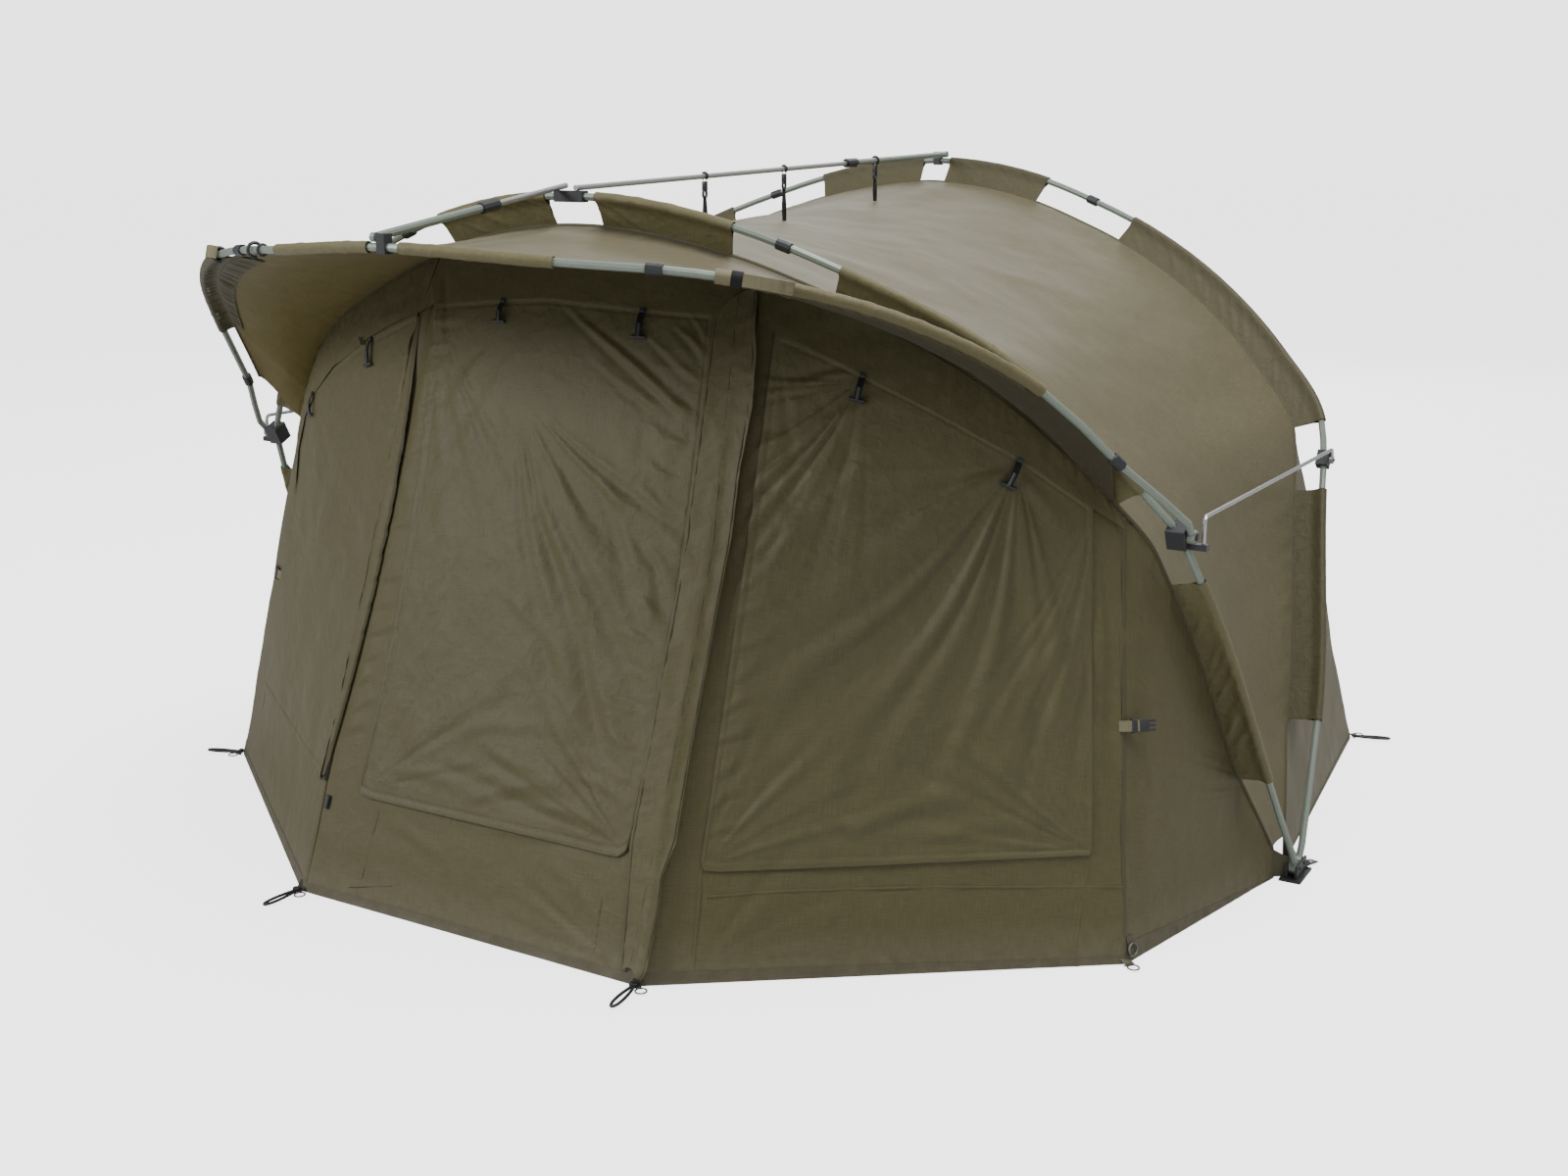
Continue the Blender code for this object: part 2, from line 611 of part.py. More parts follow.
def side_clip(name, arch, k, side, look, tent, cutters):
    """The clip that joins two rear tubes, with the side bar's pin outside it."""
    at, way = tube_place(arch, k)
    body = bored_block(name, CLIP_SIZE, at, way, Vector((side, 0, 0)), look, tent, cutters, BLOCK_EDGE)
    start = (TUBE_RADIUS + FIT + CLIP_SIZE[0] / 2) / 2
    eye_middle = CLIP_SIZE[0] / 2 + GAP + SIDE_EYE_WIDTH / 2
    end = eye_middle + SIDE_EYE_WIDTH / 2 + RIVET_HEAD
    pin_at = at + Vector((side * (start + end) / 2, 0, 0))
    pin = rod(f"{name}_pin", BAR_PIN_RADIUS, end - start, turned((1, 0, 0), pin_at), None, cutters)
    boolean(body, as_guide(pin), "UNION")
    return at + Vector((side * eye_middle, 0, 0))


def rounded(corners, radius, steps=BEND_STEPS):
    """The path through corners, each inner corner turned on a curve."""
    path = [corners[0]]
    for before, corner, after in zip(corners, corners[1:], corners[2:]):
        start = corner + (before - corner).normalized() * radius
        end = corner + (after - corner).normalized() * radius
        for k in range(steps + 1):
            t = k / steps
            path.append(start * (1 - t) ** 2 + corner * (2 * t * (1 - t)) + end * t ** 2)
    return path + [corners[-1]]


def side_bar(name, socket, pin, look, tent, cutters):
    """The bent rod that holds the front and rear legs apart; its rear eye turns on the side clip's pin."""
    up = Vector((0, 0, 1))
    corners = [
        socket - up * SOCKET_REACH, socket + up * SIDE_BAR_DROP, pin + up * SIDE_BAR_HOOK, pin + up * PIN_RADIUS,
    ]
    path = rounded(corners, SIDE_BAR_HOOK / 2)
    bar = tube_to_mesh(tube(name, path, SIDE_BAR_RADIUS, look, tent), look, tent)
    across = turned((1, 0, 0), pin)
    boolean(bar, as_guide(rod(f"{name}_eye", SIDE_EYE_RADIUS, SIDE_EYE_WIDTH, across, None, cutters)), "UNION")
    length = SIDE_EYE_WIDTH + 2 * CUT_OVERRUN
    bore = rod(f"{name}_bore", BAR_PIN_RADIUS + PIN_FIT, length, across, None, cutters)
    boolean(bar, as_guide(bore), "DIFFERENCE")


def telescopic_bar(name, pin, end, clamp_share, look, inner_look, plastic, tent, cutters):
    """A roof bar: an outer tube with an eye at its pin, a clamp, and an inner tube that slides into it."""
    way = (end - pin).normalized()
    length = (end - pin).length
    outer_length = length * clamp_share
    middle = pin + way * ((BAR_START + outer_length) / 2)
    outer = ring(
        f"{name}_outer", BAR_RADIUS - BAR_WALL, BAR_RADIUS, outer_length - BAR_START,
        turned(way, middle), look, tent,
    )
    eye_place = turned((1, 0, 0), pin)
    eye = rod(f"{name}_eye", BAR_EYE_RADIUS, BAR_EYE_WIDTH, eye_place, None, cutters, EYE_SIDES)
    boolean(outer, as_guide(eye), "UNION")
    bore_length = BAR_EYE_WIDTH + 2 * BAR_RADIUS
    bore = rod(f"{name}_bore", BAR_PIN_RADIUS + PIN_FIT, bore_length, eye_place, None, cutters)
    boolean(outer, as_guide(bore), "DIFFERENCE")
    clamp_middle = pin + way * (outer_length - CLAMP_LENGTH / 2 + CLAMP_WALL)
    ring(
        f"{name}_clamp", BAR_RADIUS + GAP, BAR_RADIUS + CLAMP_WALL, CLAMP_LENGTH,
        turned(way, clamp_middle), plastic, tent, CLAMP_CHAMFER,
    )
    inner_start = outer_length - CLAMP_LENGTH - INNER_ENTRY
    inner_length = length + BAR_END - inner_start
    inner_middle = pin + way * (inner_start + inner_length / 2)
    rod(f"{name}_inner", INNER_RADIUS, inner_length, turned(way, inner_middle), inner_look, tent)


def rib_tubes(names, arch, joints, holds):
    """The middle lines of a rib's tubes from joint to joint, straight for a hold at each end."""
    made = []
    for number, name in enumerate(names):
        a, b = joints[number], joints[number + 1]
        start_gap = 0.0 if number == 0 else GAP
        end_gap = 0.0 if number == len(names) - 1 else GAP
        path = section_path(
            arch["places"], arch["heads"], a, b, holds[number], holds[number + 1], start_gap, end_gap
        )
        made.append((name, path))
    return made


def collar(name, arch, k, look, tent):
    at, way = tube_place(arch, k)
    outside = TUBE_RADIUS + FIT
    ring(name, outside, outside + COLLAR_WALL, COLLAR_LENGTH, turned(way, at), look, tent, COLLAR_CHAMFER)


def hem_line(foot_y, corners, arch):
    """Ground points under a rib's seam points: straight runs from the foot block through the corners."""
    seams, first = arch["seams"], arch["first"]
    stops = [(first, Vector((HALF_WIDTH - HEM_FOOT_IN, foot_y, 0)))]
    stops += [(k, Vector((*shares, 0)) * HALF_WIDTH) for k, shares in corners]
    last = len(arch["places"]) - 1
    stops += [(last - k, mirrored(p)) for k, p in reversed(stops)]
    line = []
    for (a, start), (b, end) in zip(stops, stops[1:]):
        i, j = (a - first) * ARCH_STEPS, (b - first) * ARCH_STEPS
        run = [0.0]
        for k in range(i, j):
            run.append(run[-1] + (seams[k + 1] - seams[k]).length)
        line += [start.lerp(end, r / run[-1]) for r in run[:-1]]
    return line + [stops[-1][1]]


def standing(rows):
    """Rows whose last one is lifted by as much as the cloth's lower edge would sink into the ground."""
    normals = surface_normals(rows, Vector((0, 0, PIVOT_HEIGHT)))
    rows[-1] = [p + Vector((0, 0, FABRIC / 2 * abs(n.z))) for p, n in zip(rows[-1], normals[-1])]
    return rows


def ruled(upper, lower, shares, spread):
    """Rows of a flat-hung panel, from its seam on the rib to its hem."""
    rows = []
    for share in shares:
        row = []
        for a, b in zip(upper, lower):
            start = a + (b - a).normalized() * spread
            row.append(start.lerp(b, share))
        rows.append(row)
    return rows


def trimmed(rows, gap):
    """Rows drawn in at both ends, to clear the panels sewn beside them."""
    for row in rows:
        start, end = (row[1] - row[0]).normalized() * gap, (row[-2] - row[-1]).normalized() * gap
        row[0], row[-1] = row[0] + start, row[-1] + end
    return rows


def cover(name, rows, first, last, look, tent):
    """A window cover that lies on a panel, over some of its rows and columns."""
    normals = surface_normals(rows, Vector((0, 0, PIVOT_HEIGHT)))
    lift = FABRIC / 2 + COVER_STAND + COVER_THICK / 2
    low, high = COVER_ROWS
    patch = [
        [rows[i][j] + normals[i][j] * lift for j in range(first, last + 1)] for i in range(low, high + 1)
    ]
    return sheet(name, patch, COVER_THICK, look, tent)


def storm_flap(name, panel, seam, look, tent):
    """The cloth strip over a door's zip, standing just off the side panel's edge and the door's."""
    normals = surface_normals(panel, Vector((0, 0, PIVOT_HEIGHT)))
    inner = 1 if seam == 0 else len(panel[0]) - 2
    rows = []
    for row, line in zip(panel, normals):
        edge, normal = row[seam], line[seam]
        away = (row[inner] - edge).normalized()
        lift = edge + normal * (FABRIC / 2 + FLAP_STAND + COVER_THICK / 2)
        rows.append([lift - away * FLAP_INWARD, lift, lift + away * FLAP_OUTWARD])
    rows[0] = [p.lerp(q, FLAP_TOP_SHARE) for p, q in zip(rows[0], rows[1])]
    rows[-1] = [q.lerp(p, FLAP_FOOT_SHARE) for p, q in zip(rows[-2], rows[-1])]
    return sheet(name, rows, COVER_THICK, look, tent)


def zip_slider(name, door, seam, look, tent):
    """The slider of a door zip, closed, with its length along the door's seam."""
    normals = surface_normals(door, Vector((0, 0, PIVOT_HEIGHT)))
    inner = 1 if seam == 0 else len(door[0]) - 2
    top, foot = door[0][seam], door[-1][seam]
    up = (top - foot).normalized()
    low = len(door) - 2
    away = (door[low][inner] - door[low][seam]).normalized()
    out = away.cross(up).normalized()
    out = out if out.dot(normals[low][seam]) > 0 else -out
    across = up.cross(out)
    clear = FLAP_INWARD + SLIDER_CLEAR + SLIDER_SIZE[0] / 2
    at = top.lerp(foot, SLIDER_ROW_SHARE) + away * clear + out * (FABRIC / 2 + GAP + SLIDER_SIZE[2] / 2)
    place = Matrix.Translation(at) @ Matrix((across, up, out)).transposed().to_4x4()
    block(name, SLIDER_SIZE, place, look, tent, SLIDER_EDGE)


def make_frame(front, rear, peak, looks, tent, cutters):
    """All tubes, collars, clips, feet and bars."""
    last_front, last_peak = len(front["places"]) - 1, len(peak["places"]) - 1
    leg_hold, nexus_hold = LEG_HOLD, NEXUS_SIZE[2] * NEXUS_HOLD_SHARE
    clip_hold, collar_hold = CLIP_SIZE[2] / 2 + GAP, COLLAR_LENGTH / 2 + GAP
    ribs = (
        ("front", front, (0, NEXUS_PLACE, FRONT_COLLAR_PLACE), (leg_hold, nexus_hold, collar_hold)),
        ("rear", rear, (0, REAR_CLIP_PLACE, REAR_COLLAR_PLACE), (leg_hold, clip_hold, collar_hold)),
        (
            "peak", peak, (0, PEAK_LOW_COLLAR_PLACE, PEAK_HIGH_COLLAR_PLACE),
            (LUG_HOLD, collar_hold, collar_hold),
        ),
    )
    for rib, arch, right_joints, right_holds in ribs:
        last = len(arch["places"]) - 1
        joints = list(right_joints) + [last - k for k in reversed(right_joints)]
        holds = list(right_holds) + list(reversed(right_holds))
        names = [f"{rib}_{part}" for part in TUBE_NAMES]
        for name, path in rib_tubes(names, arch, joints, holds):
            if name == names[0]:
                leg_with_eye(name, path, path[0], looks["tube"], tent, cutters)
            elif name == names[-1]:
                leg_with_eye(name, path, path[-1], looks["tube"], tent, cutters)
            else:
                tube(name, path, TUBE_RADIUS, looks["tube"], tent)

    plastic, pins = looks["plastic"], {}
    for side, hand in ((1, "right"), (-1, "left")):
        def on_side(arch, k):
            return k if side > 0 else len(arch["places"]) - 1 - k

        foot_block(f"foot_block_{hand}", side, plastic, tent, cutters)
        collar(f"front_collar_{hand}", front, on_side(front, FRONT_COLLAR_PLACE), plastic, tent)
        collar(f"rear_collar_{hand}", rear, on_side(rear, REAR_COLLAR_PLACE), plastic, tent)
        collar(f"peak_low_collar_{hand}", peak, on_side(peak, PEAK_LOW_COLLAR_PLACE), plastic, tent)
        collar(f"peak_high_collar_{hand}", peak, on_side(peak, PEAK_HIGH_COLLAR_PLACE), plastic, tent)
        place = on_side(front, NEXUS_PLACE)
        nexus(f"nexus_{hand}", front, place, side, plastic, tent, cutters)
        clip_place = on_side(rear, REAR_CLIP_PLACE)
        pins[hand] = side_clip(f"side_bar_clip_{hand}", rear, clip_place, side, plastic, tent, cutters)
        socket = socket_place(*tube_place(front, place), side)
        side_bar(f"side_bar_{hand}", socket, pins[hand], looks["bar"], tent, cutters)

    rest = crown_rest("front_crown_clip", front, plastic, tent, cutters)
    for rib, arch, side, share, bar in (
        ("peak", peak, -1, FRONT_CLAMP_SHARE, "front_roof_bar"),
        ("rear", rear, 1, REAR_CLAMP_SHARE, "rear_roof_bar"),
    ):
        pins[rib] = crown_clip(f"{rib}_crown_clip", arch, side, plastic, tent, cutters)
        end = bar_end(rest, pins[rib], side)
        telescopic_bar(bar, pins[rib], end, share, looks["tube"], looks["bar"], plastic, tent, cutters)
    return pins


def make_cloth(front, rear, peak, looks, tent):
    """The sleeves, the canopies, the front wall and what lies on it."""
    middle_front, middle_peak = len(front["places"]) // 2, len(peak["places"]) // 2
    crown = (middle_front - 1, middle_front + 1)
    rib_sleeve("front_sleeve", front, RIB_BARE, crown, looks["canopy"], tent)
    rib_sleeve("rear_sleeve", rear, RIB_BARE, crown, looks["canopy"], tent)
    rib_sleeve("peak_sleeve", peak, PEAK_BARE, (middle_peak - 1, middle_peak + 1), looks["canopy"], tent)

    inside = Vector((0, *ROOM_MIDDLE))
    roof = spanned(front["seams"], rear["seams"], SPAN_STEPS, ROOF_SAG, inside, (SEAM_SPREAD, SEAM_SPREAD))
    sheet("roof_canopy", roof, FABRIC, looks["canopy"], tent)
    whole = len(front["seams"]) - 1
    wing_end, door_start = ((k - SKIRT_PLACE) * ARCH_STEPS for k in (WING_PLACE, DOOR_PLACE))
    ahead = Vector((0, -math.cos(FRONT_LEAN), -math.sin(FRONT_LEAN))) * PEAK_SEAM_AHEAD
    under_peak = [p + ahead for p in front["seams"][wing_end:whole - wing_end + 1]]
    shade = spanned(under_peak, peak["seams"], SPAN_STEPS, PEAK_SAG, inside, (0, SEAM_SPREAD))
    sheet("peak_canopy", shade, FABRIC, looks["canopy"], tent)

    back_corners = ((BACK_SIDE_PLACE, BACK_SIDE_CORNER_SHARES), (BACK_PLACE, BACK_CORNER_SHARES))
    back_hem = hem_line(HEM_FOOT_AHEAD, back_corners, rear)
    back = ruled(rear["seams"], back_hem, BACK_SHARES, BACK_SPREAD)
    sheet("rear_canopy", standing(back), FABRIC, looks["canopy"], tent)

    front_corners = ((WING_PLACE, WING_CORNER_SHARES), (DOOR_PLACE, DOOR_CORNER_SHARES))
    front_hem = hem_line(-HEM_FOOT_AHEAD, front_corners, front)
    spans = {
        "wing_right": (0, wing_end), "front_panel_right": (wing_end, door_start),
        "door_panel": (door_start, whole - door_start),
        "front_panel_left": (whole - door_start, whole - wing_end), "wing_left": (whole - wing_end, whole),
    }
    panels = {}
    for name, (a, b) in spans.items():
        rows = ruled(front["seams"][a:b + 1], front_hem[a:b + 1], PANEL_SHARES, WALL_SPREAD)
        panels[name] = trimmed(standing(rows), SEAM_GAP / 2)
        sheet(name, panels[name], FABRIC, looks["wall"], tent)
    door, right, left = (panels[k] for k in ("door_panel", "front_panel_right", "front_panel_left"))
    door_last, side_last = len(door[0]) - 1, len(right[0]) - 1
    look = looks["cover"]
    cover("door_window_cover", door, DOOR_COVER_STEPS, door_last - DOOR_COVER_STEPS, look, tent)
    cover("side_window_cover_right", right, SIDE_COVER_STEPS, side_last - COVER_STEPS, look, tent)
    cover("side_window_cover_left", left, COVER_STEPS, side_last - SIDE_COVER_STEPS, look, tent)
    storm_flap("storm_flap_right", right, side_last, looks["wall"], tent)
    storm_flap("storm_flap_left", left, 0, looks["wall"], tent)
    zip_slider("zip_slider_right", door, 0, looks["plastic"], tent)
    zip_slider("zip_slider_left", door, door_last, looks["plastic"], tent)


def pivot(name, at, carried, tent, cutters):
    """An empty on a joint's axis, which carries the pieces and cutters whose names start as it says."""
    made = bpy.data.objects.new(name, None)
    made.empty_display_size = PIVOT_MARK
    made.matrix_world = Matrix.Translation(at)
    for piece in list(tent.objects) + list(cutters.objects):
        if piece.name.startswith(carried):
            piece.parent = made
            piece.matrix_parent_inverse = Matrix.Translation(-at)
    tent.objects.link(made)


def make_pivots(front, rear, peak, pins, tent, cutters):
    """The joints' axes, the last ones in each chain first."""
    pivot("front_bar_pivot", pins["peak"], ("front_roof_bar_",), tent, cutters)
    pivot("rear_bar_pivot", pins["rear"], ("rear_roof_bar_",), tent, cutters)
    for hand in ("right", "left"):
        pivot(f"side_bar_pivot_{hand}", pins[hand], (f"side_bar_{hand}",), tent, cutters)
    at_peak, at_front, at_rear = (Vector((0, *arch["places"][0].yz)) for arch in (peak, front, rear))
    pivot("peak_rib_pivot", at_peak, PEAK_CARRIES, tent, cutters)
    pivot("front_rib_pivot", at_front, FRONT_CARRIES, tent, cutters)
    pivot("rear_rib_pivot", at_rear, REAR_CARRIES, tent, cutters)


def main():
    remove_everything()
    tent = collection("bivvy_tent")
    cutters = collection("cutters")
    looks = {
        "canopy": material("canopy_fabric", (0.155, 0.140, 0.098), 0.62),
        "wall": material("front_wall_fabric", (0.120, 0.106, 0.070), 0.66),
        "cover": material("window_cover_fabric", (0.112, 0.098, 0.064), 0.66),
        "tube": material("green_grey_tube", (0.200, 0.235, 0.195), 0.42, 0.35),
        "bar": material("bare_aluminium", (0.500, 0.510, 0.505), 0.34, 0.85),
        "plastic": material("black_plastic", (0.022, 0.023, 0.026), 0.50),
    }
    front_right = in_plane(FRONT_SHARES, FRONT_RISE, -FRONT_LEAN)
    rear_right = in_plane(REAR_SHARES, REAR_RISE, REAR_LEAN)
    peak_right = peak_places(front_right[NEXUS_PLACE])

    def rib_width(point):
        foot = Vector((math.copysign(HALF_WIDTH, point.x), 0, PIVOT_HEIGHT))
        return fin_width(point, foot, FIN_WIDTH)

    def middle_of(right):
        middle = right[0].lerp(right[-1], RIB_MIDDLE_SHARE)
        middle.x = 0
        return lambda point: middle

    def behind_peak(point):
        turn = 1 + PEAK_FIN_TURN_SHARE * abs(point.x) / PEAK_HALF_WIDTH
        return point + Vector((0, 1, -PEAK_FIN_DROP_SHARE * turn))

    front_up = Vector((0, -math.sin(FRONT_LEAN), math.cos(FRONT_LEAN)))
    rear_up = Vector((0, math.sin(REAR_LEAN), math.cos(REAR_LEAN)))
    front = rib_arch(front_right, front_up, SKIRT_PLACE, middle_of(front_right), rib_width)
    rear = rib_arch(rear_right, rear_up, SKIRT_PLACE, middle_of(rear_right), rib_width)
    peak_up = Vector((0, -1, 1))
    peak = rib_arch(peak_right, peak_up, PEAK_LOW_COLLAR_PLACE, behind_peak, lambda point: PEAK_FIN_WIDTH)
    pins = make_frame(front, rear, peak, looks, tent, cutters)
    make_cloth(front, rear, peak, looks, tent)
    make_pivots(front, rear, peak, pins, tent, cutters)


main()
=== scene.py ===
import math
import random

import bmesh
import bpy
import numpy as np
from mathutils import Euler, Matrix, Vector, noise
from mathutils.bvhtree import BVHTree


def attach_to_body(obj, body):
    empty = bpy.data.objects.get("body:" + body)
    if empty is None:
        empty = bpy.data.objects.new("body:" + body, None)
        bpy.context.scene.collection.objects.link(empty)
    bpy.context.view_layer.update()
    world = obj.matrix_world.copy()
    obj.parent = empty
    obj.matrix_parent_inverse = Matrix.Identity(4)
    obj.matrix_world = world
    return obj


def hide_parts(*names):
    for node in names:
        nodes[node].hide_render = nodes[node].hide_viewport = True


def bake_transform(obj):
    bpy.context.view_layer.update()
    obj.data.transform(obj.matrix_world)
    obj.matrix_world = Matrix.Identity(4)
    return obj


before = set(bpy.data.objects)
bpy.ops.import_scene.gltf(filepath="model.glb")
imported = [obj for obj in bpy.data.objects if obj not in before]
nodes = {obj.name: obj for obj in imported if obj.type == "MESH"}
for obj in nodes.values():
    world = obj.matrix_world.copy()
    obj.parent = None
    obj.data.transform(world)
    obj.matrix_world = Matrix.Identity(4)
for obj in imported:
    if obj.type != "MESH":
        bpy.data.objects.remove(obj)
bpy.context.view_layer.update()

dice = random.Random(11)
scene = bpy.context.scene
print("bivvy: frame loaded,", len(nodes), "nodes")

# The camera fitted to the photograph. Places read off the photograph are pixels of 1600 x 1200.
camera = {"place": (2.648, -4.352, 1.845), "tiltDown": 0.249, "turn": 0.532, "lens": 41.42, "sensor": 36.0}
cameraSpin = Euler((math.pi / 2 - camera["tiltDown"], 0, camera["turn"]))
cameraData = bpy.data.cameras.new("camera")
cameraData.lens, cameraData.sensor_width = camera["lens"], camera["sensor"]
cameraThing = bpy.data.objects.new("camera", cameraData)
cameraThing.location, cameraThing.rotation_euler = camera["place"], cameraSpin
scene.collection.objects.link(cameraThing)
scene.camera = cameraThing

photoWide, photoHigh = 1600, 1200
photoFocal = camera["lens"] / camera["sensor"] * photoWide
cameraPlace = Vector(camera["place"])
cameraAxes = cameraSpin.to_matrix()


def inPhoto(points):
    local = (np.asarray(points, float) - np.array(cameraPlace)) @ np.array(cameraAxes)
    return (
        photoWide / 2 + photoFocal * local[..., 0] / -local[..., 2],
        photoHigh / 2 - photoFocal * local[..., 1] / -local[..., 2],
    )


def pixelWay(px, py):
    way = Vector(((px - photoWide / 2) / photoFocal, (photoHigh / 2 - py) / photoFocal, -1))
    return (cameraAxes @ way).normalized()


# Rib places from the right foot to the crown, in shares of half width and rise (and of reach on the peak)
halfWidth, pivotHeight, pivotSpread, archSteps = 1.600, 0.030, 0.022, 16
frontRib = {
    "shares": (
        (1.0, 0.0), (0.9955, 0.032), (0.972, 0.161), (0.901, 0.489), (0.876, 0.559), (0.83, 0.62),
        (0.78, 0.68), (0.65, 0.80), (0.43, 0.908), (0.347, 0.939), (0.309, 0.9515), (0.27, 0.9625),
        (0.046, 0.999), (0.0, 1.0),
    ),
    "rise": 1.855, "lean": math.radians(-26.4),
}
rearRib = {
    "shares": (
        (1.0, 0.0), (0.9975, 0.030), (0.9825, 0.184), (0.909, 0.50), (0.90, 0.544), (0.882, 0.60),
        (0.785, 0.70), (0.665, 0.79), (0.45, 0.90), (0.357, 0.933), (0.305, 0.950), (0.253, 0.965),
        (0.03, 0.999), (0.0, 1.0),
    ),
    "rise": 2.050, "lean": math.radians(33.2),
}
peakRib = {
    "shares": (
        (1.0, 0.0, 0.0), (0.917, 0.1806, 0.290), (0.842, 0.355, 0.548), (0.687, 0.603, 0.802),
        (0.51, 0.78, 0.92), (0.403, 0.855, 0.95), (0.335, 0.892, 0.959), (0.267, 0.9266, 0.9676),
        (0.03, 0.998, 0.999), (0.0, 1.0, 1.0),
    ),
    "reach": 1.008, "rise": 0.648, "halfWidth": halfWidth * 0.876 + 0.0324,   # outside the nexus blocks
}
sleeveWidth = {"foot": 0.036, "more": 0.042, "over": 0.35, "peak": 0.034}
lastPlace, hemFoot = 26, 1.556


def leaningPlaces(rib):
    lean = rib["lean"]
    foot = Vector((0, math.copysign(pivotSpread, lean), pivotHeight))
    up = Vector((0, math.sin(lean), math.cos(lean)))
    return [foot + up * rib["rise"] * s + Vector((halfWidth * w, 0, 0)) for w, s in rib["shares"]]


def ribTable(right, firstWay, centreOf, widthOf, first=1):
    # the rib's middle line and its sleeve's seam, as arrays that are read by place number
    places = right + [Vector((-p.x, p.y, p.z)) for p in reversed(right[:-1])]
    last = len(places) - 1
    heads = []
    for k, place in enumerate(places):
        if 0 < k < last:
            before, after = place - places[k - 1], places[k + 1] - place
            a, b = before.length, after.length
            heads.append((before * (b / a) + after * (a / b)).normalized())
        else:
            head = firstWay if k == 0 else Vector((firstWay.x, -firstWay.y, -firstWay.z))
            heads.append(head.normalized())
    number, point, way, inward, seam, width = [], [], [], [], [], []
    for k in range(first, last - first):
        span = (places[k + 1] - places[k]).length
        p, q, m, n = places[k], places[k + 1], heads[k] * span, heads[k + 1] * span
        for step in range(archSteps + (k == last - first - 1)):
            t = step / archSteps
            at = p * (2 * t**3 - 3 * t * t + 1) + m * (t**3 - 2 * t * t + t)
            at += q * (3 * t * t - 2 * t**3) + n * (t**3 - t * t)
            along = p * (6 * t * t - 6 * t) + m * (3 * t * t - 4 * t + 1)
            along += q * (6 * t - 6 * t * t) + n * (3 * t * t - 2 * t)
            along.normalize()
            toCentre = centreOf(at) - at
            inTo = (toCentre - along * toCentre.dot(along)).normalized()
            wide = widthOf(at)
            number.append(k + t)
            point.append(at), way.append(along), inward.append(inTo)
            seam.append(at + inTo * wide), width.append(wide)
    seam = np.array(seam)
    run = np.concatenate([[0], np.cumsum(np.linalg.norm(np.diff(seam, axis=0), axis=1))])
    rows = {"number": number, "point": point, "way": way, "inward": inward, "seam": seam, "width": width, "run": run}
    return {key: np.array(row) for key, row in rows.items()}


def readTable(table, key, number):
    value = table[key]
    if value.ndim == 1:
        return np.interp(number, table["number"], value)
    return np.stack([np.interp(number, table["number"], value[:, k]) for k in range(3)], -1)


def evenNumbers(table, start, end, pitch):
    # place numbers from start to end, evenly spaced along the seam
    a, b = readTable(table, "run", start), readTable(table, "run", end)
    count = max(2, round(abs(b - a) / pitch))
    return np.interp(np.linspace(a, b, count + 1), table["run"], table["number"])


def legWidth(at):
    fromPivot = (Vector((abs(at.x), at.y, at.z)) - Vector((halfWidth, 0, pivotHeight))).length
    return sleeveWidth["foot"] + sleeveWidth["more"] * min(1, fromPivot / sleeveWidth["over"])


def ribCentre(right):
    middle = right[0].lerp(right[-1], 0.35)
    middle.x = 0
    return lambda at: middle


frontRight, rearRight = leaningPlaces(frontRib), leaningPlaces(rearRib)
hinge = frontRight[4]
peakRight = [
    Vector((peakRib["halfWidth"] * w, hinge.y - peakRib["reach"] * r, hinge.z + peakRib["rise"] * h))
    for w, r, h in peakRib["shares"]
]
front, rear = (
    ribTable(right, Vector((0, math.sin(rib["lean"]), math.cos(rib["lean"]))), ribCentre(right), legWidth)
    for right, rib in ((frontRight, frontRib), (rearRight, rearRib))
)
peak = ribTable(
    peakRight, Vector((0, -1, 1)).normalized(),
    lambda at: at + Vector((0, 1, -0.12 * (1 + 3 * abs(at.x) / peakRib["halfWidth"]))), lambda at: sleeveWidth["peak"],
)


def hemTable(table, footAhead, corners):
    stops = [(1, (hemFoot, footAhead, 0))] + [(k, (x, y, 0)) for k, x, y in corners]
    stops += [(lastPlace - k, (-p[0], p[1], 0)) for k, p in reversed(stops)]
    return [readTable(table, "run", k) for k, _ in stops], np.array([p for _, p in stops])


frontHem = hemTable(front, -0.045, ((5, 1.4048, -0.7056), (10, 0.5104, -1.36)))
rearHem = hemTable(rear, 0.045, ((5, 1.4576, 1.1616), (9, 0.56, 1.503)))


def hemAt(table, hem, number):
    run = readTable(table, "run", number)
    return np.stack([np.interp(run, hem[0], hem[1][:, k]) for k in range(3)], -1)


print("bivvy: rib lines ready")


def feed(tree, socket, value):
    # a link from another node's output, or a plain value
    if isinstance(value, bpy.types.NodeSocket):
        tree.links.new(value, socket)
    elif value is not None:
        socket.default_value = value


def addNode(tree, kind, feeds=None, **settings):
    node = tree.nodes.new("ShaderNode" + kind)
    for key, value in settings.items():
        setattr(node, key, value)
    for label, value in (feeds or {}).items():
        feed(tree, node.inputs[label], value)
    return node


def mathNode(tree, operation, a, b=None, clamp=False):
    node = addNode(tree, "Math", operation=operation, use_clamp=clamp)
    feed(tree, node.inputs[0], a)
    feed(tree, node.inputs[1], b)
    return node.outputs[0]


def plus(tree, a, b):
    return mathNode(tree, "ADD", a, b)


def times(tree, a, b):
    return mathNode(tree, "MULTIPLY", a, b)


def mixed(tree, factor, a, b, blend="MIX"):
    feeds = {"Factor": factor, "A": a, "B": b}
    return addNode(tree, "Mix", feeds, data_type="RGBA", blend_type=blend).outputs["Result"]


def noiseNode(tree, vector, scale, detail=2.0, rough=0.5):
    feeds = {"Vector": vector, "Scale": scale, "Detail": detail, "Roughness": rough}
    return addNode(tree, "TexNoise", feeds).outputs["Fac"]


